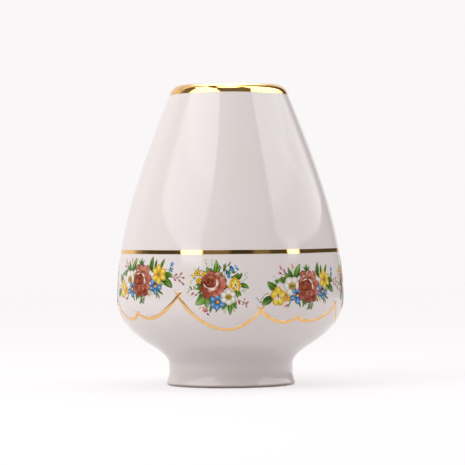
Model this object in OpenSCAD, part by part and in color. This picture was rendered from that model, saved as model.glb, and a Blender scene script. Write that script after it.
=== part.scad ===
// Porcelain vase: a pear-shaped body on a low foot, with a rounded gilt lip, a gilt band,
// gilt festoons and eight flower transfers round the belly. Millimetres, +Z up, and the
// origin at the centre of the foot on the table. The middle of a round spray faces -Y.

/* [Overall] */
// Height of the porcelain, from the table to the top of the lip
height = 161.2; // [136:0.2:194]
// Thickness of the finished wall, with both glaze coats
wall = 3.6; // [3:0.1:4.4]
// Thickness of a glaze coat
glaze_t = 0.3; // [0.2:0.01:0.4]

/* [Foot] */
// Diameter of the foot at its flared edge
foot_d = 69.4; // [67:0.2:83]
// Radius of the foot's rounded bottom edge
foot_round = 1.4; // [1:0.1:1.7]
// Lean of the foot's wall over the rounded edge, inwards, in degrees
foot_lean = 25; // [10:1:30]
// Diameter of the foot's narrow waist
waist_d = 66.6; // [60:0.2:68]
// Height of the waist
waist_h = 11.4; // [9:0.1:13]
// Width of the bare ring that stands on the table
ring_w = 3.2; // [2.4:0.1:4]
// Lean of the ring's inner side, in radius per height
ring_draft = 0.25; // [0.1:0.05:0.4]
// Bare height of the ring's inner side, below its glaze
ring_dry_h = 0.8; // [0.4:0.1:1.2]
// How far below level the outer glaze reaches on the rounded edge, in degrees
glaze_stop = 48; // [30:1:60]
// Depth of the recess under the base
recess_h = 5; // [3:0.1:6]
// Radius in the corner of the recess
recess_round = 2; // [1:0.1:2.4]
// Thickness of the base between the recess and the cavity
base_t = 4.4; // [3.6:0.1:5.3]
// Diameter of the level part of the cavity's floor
floor_d = 34; // [28:1:38]

/* [Belly] */
// Largest diameter of the vase
belly_d = 121.8; // [116:0.2:148]
// Height of the largest diameter
belly_h = 46.6; // [43:0.2:56]
// Diameter where the hollow curve over the foot turns into the belly
cove_d = 84.2; // [80:0.2:92]
// Height of that turn
cove_h = 21; // [19:0.2:24]
// Growth of the radius per height at that turn
cove_slope = 1.65; // [1.3:0.05:1.9]

/* [Lip] */
// Diameter at which the wall starts to round over into the lip
shoulder_d = 63.2; // [53:0.2:76]
// Lean of the wall from upright at that line, in degrees
shoulder_lean = 22; // [18:1:28]
// Radius of the rounded lip
lip_round = 7; // [6:0.1:8.4]

/* [Gilding] */
// Thickness of the raised gold
gilt_t = 0.12; // [0.08:0.01:0.2]
// How far the lip's gold reaches below the start of the round
lip_gilt_drop = 0.3; // [0.2:0.1:2]
// How far the lip's gold goes past the top of the inner edge, in degrees
lip_gilt_turn = 150; // [110:5:170]
// Height of the band's lower edge above the widest line
band_rise = 24.6; // [24:0.1:30]
// Width of the band
band_w = 2.1; // [1:0.1:4]
// Width of a festoon's brush stroke
stroke_w = 2; // [0.8:0.1:2.4]
// How far a stroke's tail reaches sideways past the place where two strokes cross
stroke_tail = 2.3; // [1:0.1:4]
// Roundness of a swag: 2 is a parabola, and more is fuller at the ends
swag_round = 2.2; // [1.8:0.1:3]

/* [Transfers] */
// Times that the decoration repeats round the vase
repeats = 4; // [3:1:4]
// Thickness of a flower transfer
transfer_t = 0.12; // [0.08:0.01:0.2]
// Height of a round spray's centre above the widest line
round_rise = 9.6; // [6:0.1:10]
// Height of a long spray's centre above the widest line
long_rise = 8.9; // [6:0.1:9]

/* [Hidden] */
side_step = 1.6;      // height of one ring of the wall
arc_steps = 10;       // straight pieces in each rounded corner
stroke_steps = 26;    // lengths in a brush stroke
turn_fn = 180;
petal_fn = 32;
reach = 100;          // how far the block that cuts a transfer reaches from the axis
pitch = 360 / repeats;
flare_h = foot_round * (1 + sin(foot_lean));               // where the foot's round meets its wall
flare_r = foot_d / 2 - foot_round * (1 - cos(foot_lean));
ring_r = foot_d / 2 - foot_round - ring_w;                 // inner radius of the bare ring
floor_h = recess_h + base_t;
bowl_h = cove_h + 1;                   // where the cavity's rounded bottom joins its wall
bowl_pull = 7;                         // length of both handles of that rounding
lip_r = shoulder_d / 2 - lip_round * cos(shoulder_lean);   // centre of the lip's round
lip_h = height - lip_round;
shoulder_h = lip_h + lip_round * sin(shoulder_lean);
ring_count = ceil((shoulder_h - flare_h) / side_step);

// ---- the wall's outer line: [height, radius, radius per height] at each station, joined by cubics
stations = [
    [flare_h, flare_r, -tan(foot_lean)],
    [waist_h, waist_d / 2, 0],
    [cove_h, cove_d / 2, cove_slope],
    [belly_h, belly_d / 2, 0],
    [shoulder_h, shoulder_d / 2, -tan(shoulder_lean)],
];
function span_of(z, i = 0) = i >= len(stations) - 2 || z < stations[i + 1][0] ? i : span_of(z, i + 1);
function radius_at(z) =
    let (i = span_of(z), a = stations[i], b = stations[i + 1], l = b[0] - a[0], t = (z - a[0]) / l)
    a[1] * (1 + 2 * t) * (1 - t) ^ 2 + b[1] * t ^ 2 * (3 - 2 * t)
    + l * (a[2] * t * (1 - t) ^ 2 - b[2] * t ^ 2 * (1 - t));
function slope_at(z) =
    let (i = span_of(z), a = stations[i], b = stations[i + 1], l = b[0] - a[0], t = (z - a[0]) / l)
    6 * t * (1 - t) * (b[1] - a[1]) / l + a[2] * (1 - t) * (1 - 3 * t) + b[2] * t * (3 * t - 2);
// a point of the wall, [radius, height], pushed out from the finished surface
function wall_point(z, out = 0) =
    let (s = slope_at(z)) [radius_at(z), z] + out * [1, -s] / sqrt(1 + s * s);
// the wall between two heights, with a point at each end and at every ring between them
function ring_height(i) = flare_h + (shoulder_h - flare_h) * i / ring_count;
function side(z0, z1, out) = [for (z = concat([z0],
    [for (i = [1:ring_count - 1]) let (z = ring_height(i)) if (z > z0 + 0.2 && z < z1 - 0.2) z], [z1]))
    wall_point(z, out)];
function arc(c, r, a0, a1) =
    [for (i = [0:arc_steps]) let (a = a0 + (a1 - a0) * i / arc_steps) c + r * [cos(a), sin(a)]];
function backwards(line) = [for (i = [len(line) - 1:-1:0]) line[i]];

// ---- the porcelain's own lines at a depth d inside the finished surface
function foot_edge(d, a0, a1) = arc([foot_d / 2 - foot_round, foot_round], foot_round - d, a0, a1);
function outside(d) = side(flare_h, shoulder_h, -d);
function lip_top(d) = arc([lip_r, lip_h], lip_round - d, shoulder_lean, 90);
function lip_nose(d, a0, a1) = arc([lip_r, height - wall / 2], wall / 2 - d, a0, a1);
function lip_under(d) = arc([lip_r, lip_h], lip_round - wall + d, 90, shoulder_lean);
function inside(d) = backwards(side(bowl_h, shoulder_h, d - wall));
// the cavity's bottom: a cubic from the wall to the level floor, then level to the axis
function bowl(d) =
    let (s = slope_at(bowl_h),
         a = wall_point(bowl_h, -wall), b = a - bowl_pull * [s, 1] / sqrt(1 + s * s),
         e = [floor_d / 2, floor_h], c = e + [bowl_pull, 0])
    concat(
        [for (i = [0:arc_steps])
            let (t = i / arc_steps, u = 1 - t,
                 p = u ^ 3 * a + 3 * u * u * t * b + 3 * u * t * t * c + t ^ 3 * e,
                 v = u * u * (b - a) + 2 * u * t * (c - b) + t * t * (e - c))
            p + d * [-v[1], v[0]] / norm(v)],
        [[0, floor_h - d]]);
// the recess: level from the axis, rounded into its leaning side, and down to the bare part
ring_lean = sqrt(1 + ring_draft ^ 2);
function recess(d) = concat(
    [[0, recess_h + d]],
    arc([ring_r - ring_draft * (recess_h - recess_round) - recess_round * ring_lean,
         recess_h - recess_round], recess_round + d, 90, atan(ring_draft)),
    [[ring_r - ring_draft * ring_dry_h + d * ring_lean, ring_dry_h]]);
module turned(outline, c) color(c) rotate_extrude($fn = turn_fn) polygon(outline);

// ---- porcelain and glaze
module biscuit_body() turned(concat(
    [[ring_r, 0]],
    foot_edge(0, -90, -glaze_stop),
    foot_edge(glaze_t, -glaze_stop, foot_lean), tail(outside(glaze_t)), tail(lip_top(glaze_t)),
    tail(lip_nose(glaze_t, 90, 270)), tail(lip_under(glaze_t)), tail(inside(glaze_t)),
    tail(bowl(glaze_t)),
    recess(glaze_t),
    [[ring_r - ring_draft * ring_dry_h, ring_dry_h]]), "linen");
function tail(line) = [for (i = [1:len(line) - 1]) line[i]];
// a coat between two depths, whose lines a function of the depth gives
module coat(line, back, c) turned(concat(line, backwards(back)), c);
function outer_line(d) = concat(foot_edge(d, -glaze_stop, foot_lean), tail(outside(d)),
                                tail(lip_top(d)), tail(lip_nose(d, 90, 180)));
function inner_line(d) = concat(lip_nose(d, 180, 270), tail(lip_under(d)), tail(inside(d)),
                                tail(bowl(d)));
module outer_glaze() coat(outer_line(0), outer_line(glaze_t), "whitesmoke");
module inner_glaze() coat(inner_line(0), inner_line(glaze_t), "white");
module base_glaze() coat(recess(0), recess(glaze_t), "ghostwhite");

// ---- gilding: the lip and the band
function lip_gold(d) = concat(
    side(shoulder_h - lip_gilt_drop, shoulder_h, -d), tail(lip_top(d)),
    tail(lip_nose(d, 90, 180)), tail(lip_nose(d, 180, 90 + lip_gilt_turn)));
function band_gold(d) = side(belly_h + band_rise, belly_h + band_rise + band_w, -d);
module lip_gilding() coat(lip_gold(-gilt_t), lip_gold(0), "gold");
module gilt_band() coat(band_gold(-gilt_t), band_gold(0), "gold");

// ---- gilding: the festoons. Each repeat has a wide, a short and a long swag, painted by hand as
// single strokes that cross at their ends, so no two repeats are alike. A point on the wall is
// [share of the pitch from -Y towards +X, height above the widest line].
wide_starts = [[-0.235, 2.9], [-0.211, -3.2], [-0.23, 0.8], [-0.24, -0.6]];
wide_ends = [[0.228, -4.7], [0.22, -5.2], [0.214, -4.2], [0.216, -4.6]];
short_ends = [[0.462, -9.2], [0.455, -8.2], [0.46, -8.6], [0.453, -7]];
// height of the middle of a repeat's wide, short and long swag
swag_lows = [[-14.2, -10.7, -10.3], [-13.4, -10.2, -9.6], [-14, -10.7, -10.1], [-13.8, -9.9, -7.9]];
function spot(table, i) = [table[i % repeats][0] * pitch, table[i % repeats][1]];
function tail_share(a, b) = stroke_tail / ((b[0] - a[0]) * radius_at(belly_h) * PI / 180);
// a swag's middle line for t from 0 to 1 between its ends: straight, less a rounded sag
function swag_line(a, b, low, t) =
    [a[0] + (b[0] - a[0]) * t,
     a[1] + (b[1] - a[1]) * t - ((a[1] + b[1]) / 2 - low) * (1 - abs(2 * t - 1) ^ swag_round)];
// the four corners of a stroke's section at t, two on the glaze and two on top of the gold
function stroke_corners(a, b, low, t) =
    let (p = swag_line(a, b, low, t), q = swag_line(a, b, low, t + 0.01), z = belly_h + p[1],
         degree = radius_at(z) * PI / 180, rise = sqrt(1 + slope_at(z) ^ 2),
         v = [(q[0] - p[0]) * degree, (q[1] - p[1]) * rise], n = [-v[1], v[0]] / norm(v),
         x = (t + tail_share(a, b)) / (1 + 2 * tail_share(a, b)),
         half = max(0.05, stroke_w / 2 * (1 - abs(2 * x - 1) ^ 10) ^ 0.6))
    [for (c = [[-half, 0], [half, 0], [half, gilt_t], [-half, gilt_t]])
        let (k = wall_point(z + c[0] * n[1] / rise, c[1]), angle = p[0] + c[0] * n[0] / degree)
        [k[0] * sin(angle), -k[0] * cos(angle), k[1]]];
module stroke(a, b, low) {
    ends = tail_share(a, b);
    last = 4 * stroke_steps;
    color("goldenrod") polyhedron(
        [for (i = [0:stroke_steps])
            each stroke_corners(a, b, low, -ends + (1 + 2 * ends) * i / stroke_steps)],
        concat([[0, 1, 2, 3], [last + 3, last + 2, last + 1, last]],
            [for (i = [0:stroke_steps - 1], j = [0:3]) let (k = 4 * i, m = (j + 1) % 4)
                each [[k + j, k + 4 + j, k + 4 + m], [k + j, k + 4 + m, k + m]]]), convexity = 6);
}
module wide_swag(i) rotate(pitch * (i - 1))
    stroke(spot(wide_starts, i - 1), spot(wide_ends, i - 1), swag_lows[i - 1][0]);
module short_swag(i) rotate(pitch * (i - 1))
    stroke(spot(wide_ends, i - 1), spot(short_ends, i - 1), swag_lows[i - 1][1]);
module long_swag(i) rotate(pitch * (i - 1))
    stroke(spot(short_ends, i - 1), spot(wide_starts, i) + [pitch, 0], swag_lows[i - 1][2]);

// ---- flower transfers: each is the outline of its film, laid on the wall from the front.
// A bloom is [across, up, radius, petals, turn], and a leaf is [across, up, to across, to up, width],
// measured along the wall from the middle of the spray. The films are laid on by hand, each a
// little aside of its place and above or below it: [degrees, height].
round_shifts = [[-0.5, -0.4], [0.6, 0.2], [-0.3, -0.1], [0.8, -0.3]];
long_shifts = [[0.9, -1.3], [0.5, 0.2], [-0.8, 0.6], [-2.1, 2.3]];
round_blooms = [
    [-2.5, -0.7, 6.8, 8, 0], [8.7, -0.3, 3.9, 5, 90], [5.2, -6.8, 4, 6, 0], [-0.6, -9.3, 4, 6, 90],
    [-11.2, 5.7, 1.5, 4, 0], [-7.4, 4.9, 1.6, 4, 30], [-10.3, 1.8, 1.5, 4, 60], [-13.9, 4.3, 1, 4, 20],
    [-14.7, 1.1, 1, 4, 0], [5.4, -1.5, 1.1, 4, 0], [-7.2, -13.5, 1.5, 4, 0], [-5.7, -15.5, 1.1, 4, 40],
    [-10, -12.4, 1, 4, 0], [10.8, -9.6, 1.1, 4, 0], [13.5, -8.2, 1.1, 4, 0], [14.6, -9.7, 1, 4, 0],
    [14.3, -11.7, 1, 4, 0],
];
round_leaves = [
    [-2.3, 4.6, -1, 12.6, 2.3], [-3.2, 4.6, -6.2, 8.8, 2], [-0.8, 4.6, 1.1, 9, 1.9],
    [-4, 6.2, -7, 13.4, 1.2], [-1.8, 8, -3.4, 13.4, 1.1], [1.4, 2.6, 3.9, 10.8, 1.2],
    [3, 5.6, 6.4, 12, 1.2], [4, 7.2, 5.5, 2.6, 2], [6.1, 9.4, 8, 5.4, 2], [8.7, 9.9, 10.6, 7, 1.5],
    [2.2, 3.6, 6.8, 9, 1], [5.8, 8.4, 9.6, 9.4, 1], [8.2, 2, 12.4, 5.8, 2.6],
    [11, -0.8, 16, -2.4, 2.9], [10.8, 1, 15.4, 2.6, 1], [14.8, 1.8, 14, 5.2, 1],
    [13.4, 4.6, 16, 5.4, 1], [9.6, -3, 8.2, -6.2, 2], [9.8, -3, 11.8, -6.2, 2], [10, -3, 9.9, -7.2, 1.8],
    [-6.6, -5.2, -12.2, -10.4, 4.2], [-5.4, -5.4, -5.9, -12.4, 3.3], [-5.9, -10.6, -7.4, -14, 1.2],
    [-7, -12.4, -5.6, -16, 1], [-6, -10.8, -10.4, -12.8, 1], [-8, -2, -12, -2.2, 2.6],
    [-8.6, -1.8, -15.8, -1.2, 1.2], [-8.6, -2.4, -16.6, -4, 1.4], [-8.4, -3, -17.6, -5.4, 1.1],
    [-2, -11.4, -4.4, -14.6, 1.4], [-1, -11.4, -1.4, -14.8, 1.4], [4.4, -9, 2, -13.8, 1.8],
    [5.3, -9, 5.9, -16, 2.4], [6, -9, 9.6, -13, 1.9], [4.8, -10.6, 2.4, -16, 1.4],
    [7.4, -7.4, 9.6, -11, 1.8], [7.6, -7.2, 11.4, -10, 1.2], [10, -9.4, 14, -8, 1],
    [10.2, -9.6, 15.2, -9.8, 1], [10.2, -9.6, 14.8, -12.2, 1], [2, -1, 6, -1.6, 1.4],
    [-7, 4.4, -14.6, 4.4, 1.2], [-7, 4, -12, 6.2, 1.2], [-8, 1.4, -15.4, 1.1, 1.2],
    [-10.8, 5.6, -12.4, 8.6, 1.2], [-11, 5.8, -10.2, 9.4, 1.1],
];
long_blooms = [
    [-17.4, -5.2, 5.2, 5, 90], [-9, 0, 5.1, 6, 0], [2.5, 0, 8.2, 8, 0], [15, 3, 5.3, 5, 90],
    [12.8, -3.6, 4.2, 4, 20], [-6.2, -5.6, 3.9, 4, 20], [23.2, 8.4, 1.3, 4, 0], [22.8, 5.6, 1.6, 4, 0],
    [25.9, 2.7, 1.3, 4, 0], [28.8, 3.4, 1.2, 4, 0], [30.2, 1.2, 1.2, 4, 0], [30, -1.8, 1.2, 4, 0],
    [-15.6, 9.9, 1.4, 4, 0], [-13.4, 8.2, 1.5, 4, 0], [-16.3, 7, 1.4, 4, 0], [-8.3, 10.5, 1.3, 4, 0],
    [-13.1, -10.2, 1.4, 4, 0],
];
long_leaves = [
    [10, 4.6, 10.4, 12.3, 3.2], [12.6, 6, 13, 10.8, 1.6], [16, 6, 18.4, 10.8, 2], [1.2, 7, 1.6, 11.2, 2.6],
    [17.4, 1.2, 24.2, 1.8, 4.4], [16, -0.6, 23.8, -3.6, 3.8], [-12, 1.2, -16.8, 3.2, 3],
    [-16.4, -2, -23.8, 2.6, 3.4], [-20, -5.6, -26.4, -10, 3.4], [-9.6, 3.6, -12.4, 7.2, 2.4],
    [-8, 4, -10.6, 9.8, 2.2], [-6.6, 3.6, -3.2, 11, 2.8], [14.8, -5.4, 18, -8.2, 2],
    [13.6, -6, 16.2, -10, 1.8], [-1.6, -6, -1.5, -10.4, 1.9], [-4.6, -7.4, -3.4, -11.2, 1.7],
    [2.2, -7, 2.2, -12.6, 2.2], [17.6, 5.2, 23.4, 5.8, 1.4], [21.6, 5.2, 23.4, 9.4, 1.2],
    [22.4, 1.4, 29.4, 3.8, 1.2], [22.4, 0.8, 31, 1.2, 1.2], [24, 1.2, 30.8, -2.4, 1.2],
    [-20.6, -5, -30, -6.4, 1.4], [-10.4, 4.4, -15.8, 10.6, 1.2], [-11, 3.6, -17.2, 7.2, 1.2],
    [-7.4, 4, -8.4, 11.8, 1.8], [-11.6, -2.6, -13.3, -11, 1.6],
];
// where a point that is x along the wall, at radius r, lies when seen from the front
function seen(x, r) = r * sin(x / r * 180 / PI);
module bloom(c, r, petals, turn) translate(c) rotate(turn) {
    circle(0.66 * r, $fn = petal_fn);
    for (i = [0:petals - 1]) rotate(360 * i / petals) translate([0.6 * r, 0]) circle(0.4 * r, $fn = petal_fn);
}
// a lens between two points: the overlap of two equal circles
module leaf(a, b, w) {
    l = norm(b - a);
    r = (l * l + w * w) / (4 * w);
    translate((a + b) / 2) rotate(atan2(b[1] - a[1], b[0] - a[0])) intersection() {
        translate([0, w / 2 - r]) circle(r, $fn = petal_fn);
        translate([0, r - w / 2]) circle(r, $fn = petal_fn);
    }
}
module transfer(turn, rise, shift, blooms, leaves) {
    middle = belly_h + rise + shift[1];
    r = radius_at(middle);
    low = ring_height(floor((middle - 19 - flare_h) / side_step));
    color("palevioletred") rotate(turn + shift[0]) intersection() {
        rotate_extrude($fn = turn_fn)
            polygon(concat(side(low, middle + 16, transfer_t), backwards(side(low, middle + 16, 0))));
        translate([0, 0, middle]) rotate([90, 0, 0]) linear_extrude(reach) union() {
            for (b = blooms) bloom([seen(b[0], r), b[1]], b[2], b[3], b[4]);
            for (f = leaves) leaf([seen(f[0], r), f[1]], [seen(f[2], r), f[3]], f[4]);
        }
    }
}
module round_spray(i)
    transfer(pitch * (i - 1), round_rise, round_shifts[i - 1], round_blooms, round_leaves);
module long_spray(i)
    transfer(pitch * (i - 0.5), long_rise, long_shifts[i - 1], long_blooms, long_leaves);

biscuit_body();
outer_glaze();
inner_glaze();
base_glaze();
lip_gilding();
gilt_band();
for (i = [1:repeats]) {
    wide_swag(i);
    short_swag(i);
    long_swag(i);
    round_spray(i);
    long_spray(i);
}
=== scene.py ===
import math
import bpy
import numpy as np
from mathutils import Matrix, Vector


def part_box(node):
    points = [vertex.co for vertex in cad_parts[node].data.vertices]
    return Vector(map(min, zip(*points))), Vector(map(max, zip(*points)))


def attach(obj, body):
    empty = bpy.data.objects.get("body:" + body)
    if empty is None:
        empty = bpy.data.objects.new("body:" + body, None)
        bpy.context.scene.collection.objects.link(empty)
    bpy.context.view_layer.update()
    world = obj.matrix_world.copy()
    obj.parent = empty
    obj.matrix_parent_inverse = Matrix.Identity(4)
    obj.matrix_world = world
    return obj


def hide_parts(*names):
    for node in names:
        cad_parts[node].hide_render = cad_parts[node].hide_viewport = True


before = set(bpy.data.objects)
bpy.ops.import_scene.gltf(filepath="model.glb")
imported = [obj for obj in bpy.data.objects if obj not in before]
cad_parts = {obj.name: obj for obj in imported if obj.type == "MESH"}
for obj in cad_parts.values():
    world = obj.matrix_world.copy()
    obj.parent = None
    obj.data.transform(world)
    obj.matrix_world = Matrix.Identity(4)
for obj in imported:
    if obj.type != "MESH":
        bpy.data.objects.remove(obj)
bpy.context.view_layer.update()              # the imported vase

mm = 0.001
turn = 2 * math.pi

# the wall

wallShape = {                  # millimetres and degrees, as the CAD model has them
    "height": 161.2, "thickness": 3.6, "glaze": 0.3,
    "footWidth": 69.4, "footRound": 1.4, "footLean": 25.0, "waistWidth": 66.6, "waistHeight": 11.4,
    "ringWidth": 3.2, "ringDraft": 0.25, "dryHeight": 0.8, "glazeStop": 48.0,
    "recessDepth": 5.0, "recessRound": 2.0, "baseThickness": 4.4, "floorWidth": 34.0, "bowlPull": 7.0,
    "coveWidth": 84.2, "coveHeight": 21.0, "coveSlope": 1.65,
    "bellyWidth": 121.8, "bellyHeight": 46.6,
    "shoulderWidth": 63.2, "shoulderLean": 22.0, "lipRound": 7.0,
}
w = wallShape
footLean, shoulderLean = math.radians(w["footLean"]), math.radians(w["shoulderLean"])
flareHeight = w["footRound"] * (1 + math.sin(footLean))
flareRadius = w["footWidth"] / 2 - w["footRound"] * (1 - math.cos(footLean))
lipRadius = w["shoulderWidth"] / 2 - w["lipRound"] * math.cos(shoulderLean)
lipHeight = w["height"] - w["lipRound"]
shoulderHeight = lipHeight + w["lipRound"] * math.sin(shoulderLean)
stations = np.array([          # height, radius, slope
    [flareHeight, flareRadius, -math.tan(footLean)],
    [w["waistHeight"], w["waistWidth"] / 2, 0],
    [w["coveHeight"], w["coveWidth"] / 2, w["coveSlope"]],
    [w["bellyHeight"], w["bellyWidth"] / 2, 0],
    [shoulderHeight, w["shoulderWidth"] / 2, -math.tan(shoulderLean)],
])


def wallAt(z):                 # radius and slope at heights z: one cubic from each station to the next
    i = np.clip(np.searchsorted(stations[:, 0], z, side="right") - 1, 0, len(stations) - 2)
    (z0, r0, s0), (z1, r1, s1) = np.moveaxis(stations[i], -1, 0), np.moveaxis(stations[i + 1], -1, 0)
    length = z1 - z0
    t = (z - z0) / length
    radius = (r0 * (1 + 2 * t) * (1 - t) ** 2 + r1 * t ** 2 * (3 - 2 * t)
              + length * (s0 * t * (1 - t) ** 2 - s1 * t ** 2 * (1 - t)))
    slope = 6 * t * (1 - t) * (r1 - r0) / length + s0 * (1 - t) * (1 - 3 * t) + s1 * t * (3 * t - 2)
    return radius, slope


def wallLine(z, out):          # radius and height of the wall at z, moved out along its own normal
    radius, slope = wallAt(z)
    size = np.sqrt(1 + slope ** 2)
    return np.stack([radius + out / size, z - out * slope / size], -1)


def arcLine(centre, radius, start, end, count):     # points of a circle's arc, angles in radians
    a = np.linspace(start, end, count)
    return np.stack([centre[0] + radius * np.cos(a), centre[1] + radius * np.sin(a)], -1)


def onWall(angle, z, out):     # metres: the wall's point at an angle from the front, moved out by out
    radius, height = np.moveaxis(wallLine(z, out), -1, 0)
    return np.stack([radius * np.sin(angle), -radius * np.cos(angle), height], -1) * mm


# making meshes

def newPiece(name, points, faces, material, sharp=40):       # smooth but for edges sharper than this
    mesh = bpy.data.meshes.new(name)
    mesh.from_pydata(points.reshape(-1, 3).tolist(), [], faces)
    mesh.polygons.foreach_set("use_smooth", np.ones(len(mesh.polygons), bool))
    mesh.set_sharp_from_angle(angle=math.radians(sharp))
    mesh.materials.append(material)
    piece = bpy.data.objects.new(name, mesh)
    bpy.context.scene.collection.objects.link(piece)
    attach(piece, "root")
    return piece


def gridFaces(rows, columns, closedRows, closedColumns):     # four-sided faces between neighbours of a grid
    i, j = np.arange(rows if closedRows else rows - 1), np.arange(columns if closedColumns else columns - 1)
    i, j = [a.ravel() for a in np.meshgrid(i, j, indexing="ij")]
    k, m = (i + 1) % rows, (j + 1) % columns
    return np.stack([i * columns + j, i * columns + m, k * columns + m, k * columns + j], -1)


def ringPiece(name, line, around, material, slot):
    # a closed line of [radius, height] carried round the axis; the line may change with the angle
    angle = np.arange(around) * turn / around
    radius, height = np.moveaxis(np.broadcast_to(line, (around,) + line.shape[-2:]), -1, 0)
    points = np.stack([radius.T * np.sin(angle), -radius.T * np.cos(angle), height.T], -1) * mm
    faces = gridFaces(len(points), around, True, True)
    return newPiece(name, points, faces.tolist(), material)


def domePiece(name, line, around, material, slot):
    # a line from the axis to the axis, carried round: its two ends become single points
    angle = np.arange(around) * turn / around
    radius, height = line[1:-1, :1], line[1:-1, 1:]
    points = np.stack([radius * np.sin(angle), -radius * np.cos(angle),
                       height + 0 * angle], -1).reshape(-1, 3)
    ends = np.array([[0, 0, line[0, 1]], [0, 0, line[-1, 1]]])
    rows, first, last = len(line) - 2, (len(line) - 2) * around, (len(line) - 2) * around + 1
    j = np.arange(around)
    m = (j + 1) % around
    fans = ([[first, int(b), int(a)] for a, b in zip(j, m)]
            + [[last, int(a), int(b)] for a, b in zip(j + (rows - 1) * around, m + (rows - 1) * around)])
    faces = gridFaces(rows, around, False, True).tolist() + fans
    return newPiece(name, np.vstack([points, ends]) * mm, faces, material)


# shader maths

class Wire:                    # a socket that takes arithmetic: every operator adds one Math node
    def __init__(self, tree, socket):
        self.tree, self.socket = tree, socket

    def maths(self, operation, *others, swapped=False):
        node = self.tree.nodes.new("ShaderNodeMath")
        node.operation = operation
        terms = (self, *others)[::-1] if swapped else (self, *others)
        for slot, term in zip(node.inputs, terms):
            join(self.tree, slot, term)
        return Wire(self.tree, node.outputs[0])

    def __add__(self, other):
        return self.maths("ADD", other)

    def __radd__(self, other):
        return self.maths("ADD", other)

    def __sub__(self, other):
        return self.maths("SUBTRACT", other)

    def __rsub__(self, other):
        return self.maths("SUBTRACT", other, swapped=True)

    def __mul__(self, other):
        return self.maths("MULTIPLY", other)

    def __rmul__(self, other):
        return self.maths("MULTIPLY", other)

    def __truediv__(self, other):
        return self.maths("DIVIDE", other)

    def __abs__(self):
        return self.maths("ABSOLUTE")


def join(tree, slot, value):   # links a wire to a socket, or sets the socket's own value
    if isinstance(value, Wire):
        tree.links.new(value.socket, slot)
    elif isinstance(value, tuple) and len(value) == 3 and slot.type == "RGBA":
        slot.default_value = (*value, 1)
    else:
        slot.default_value = value


class Recipe:                  # one material and its nodes
    def __init__(self, name):
        self.material = bpy.data.materials.new(name)
        self.material.use_nodes = True
        self.tree = self.material.node_tree
        self.shader = self.tree.nodes["Principled BSDF"]

    def node(self, kind, settings=None, out=0, **sockets):
        made = self.tree.nodes.new("ShaderNode" + kind)
        for key, value in (settings or {}).items():
            if key == "stops":
                ramp = made.color_ramp.elements
                while len(ramp) < len(value):
                    ramp.new(0.5)
                for stop, (place, colour) in zip(ramp, value):
                    stop.position, stop.color = place, (*colour, 1)
            else:
                setattr(made, key, value)
        for key, value in sockets.items():
            slot = made.inputs[int(key[1:])] if key[0] == "i" and key[1:].isdigit() else made.inputs[key]
            join(self.tree, slot, value)
        return Wire(self.tree, made.outputs[out])

    def place(self):           # the piece's own coordinates, in metres
        return self.node("TexCoord", out=3)

    def grain(self, scale, detail=3, vector=None):       # soft noise, 0 to 1
        return self.node("TexNoise", Scale=scale, Detail=detail, Vector=vector or self.place())

    def within(self, value, low, high, start=0.0, end=1.0):      # a smooth step between two values
        return self.node("MapRange", {"interpolation_type": "SMOOTHSTEP"}, i0=value, i1=low, i2=high,
                         i3=start, i4=end)

    def mixed(self, share, first, second, blend="MIX"):      # from the first colour to the second
        return self.node("Mix", {"data_type": "RGBA", "blend_type": blend}, out=2,
                         i0=share, i6=first, i7=second)

    def bump(self, height, distance, strength=1.0):
        return self.node("Bump", Height=height, Distance=distance, Strength=strength)

    def finish(self, **sockets):
        for key, value in sockets.items():
            join(self.tree, self.shader.inputs[key.replace("_", " ")], value)
        return self.material


def colourOf(red, green, blue):      # a screen colour, 0 to 255, as linear light
    c = np.array([red, green, blue]) / 255
    return tuple(np.where(c < 0.04045, c / 12.92, ((c + 0.055) / 1.055) ** 2.4).tolist())

print("wall and tools ready")


# finishes

glazeLook = {                  # grains are in waves per metre, the edge and the ripple in millimetres
    "white": (240, 233, 231), "shade": (237, 229, 226), "cloudGrain": 28,
    "speck": (150, 135, 120), "specks": 0.25, "speckPitch": 170.0, "speckSize": (0.03, 0.06),
    "speckGrain": 90, "speckShare": (0.6, 0.68),
    "edge": (134, 98, 80), "edgeShare": 0.75, "edgeGrain": 140, "edgeUneven": 0.5,
    "edgeHeight": (0.9, 2.0), "edgeRadius": (32.5, 33.3),
    "rough": (0.045, 0.08), "roughGrain": 60, "roughShare": (0.3, 0.75),
    "ripple": 0.10, "rippleGrain": 22, "fineGrain": 75, "fineShare": 0.25, "ior": 1.38,
}


def glazeFinish():
    # clear gloss over white porcelain: faint ripples, specks, and a warm thin edge at the foot
    g, r = glazeLook, Recipe("porcelainGlaze")
    place = r.place()
    height = r.node("SeparateXYZ", out=2, Vector=place)
    white = r.mixed(r.grain(g["cloudGrain"], 2), colourOf(*g["white"]), colourOf(*g["shade"]))
    dots = r.within(r.node("TexVoronoi", Scale=g["speckPitch"], Vector=place), *g["speckSize"], 1, 0)
    rare = r.within(r.grain(g["speckGrain"], 1), *g["speckShare"])
    white = r.mixed(dots * rare * g["specks"], white, colourOf(*g["speck"]))
    uneven = r.grain(g["edgeGrain"], 4) * (g["edgeUneven"] * mm) + height
    edge = r.within(uneven, *[h * mm for h in g["edgeHeight"]], 1, 0)
    level = r.node("VectorMath", {"operation": "MULTIPLY"}, i0=place, i1=(1, 1, 0))
    away = r.node("VectorMath", {"operation": "LENGTH"}, out=1, i0=level)
    rim = edge * r.within(away, *[radius * mm for radius in g["edgeRadius"]])
    colour = r.mixed(rim * g["edgeShare"], white, colourOf(*g["edge"]))
    ripple = r.grain(g["rippleGrain"], 2) + r.grain(g["fineGrain"], 2) * g["fineShare"]
    rough = r.within(r.grain(g["roughGrain"], 4), *g["roughShare"], *g["rough"])
    return r.finish(Base_Color=colour, Roughness=rough, IOR=g["ior"],
                    Normal=r.bump(ripple, g["ripple"] * mm))


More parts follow.
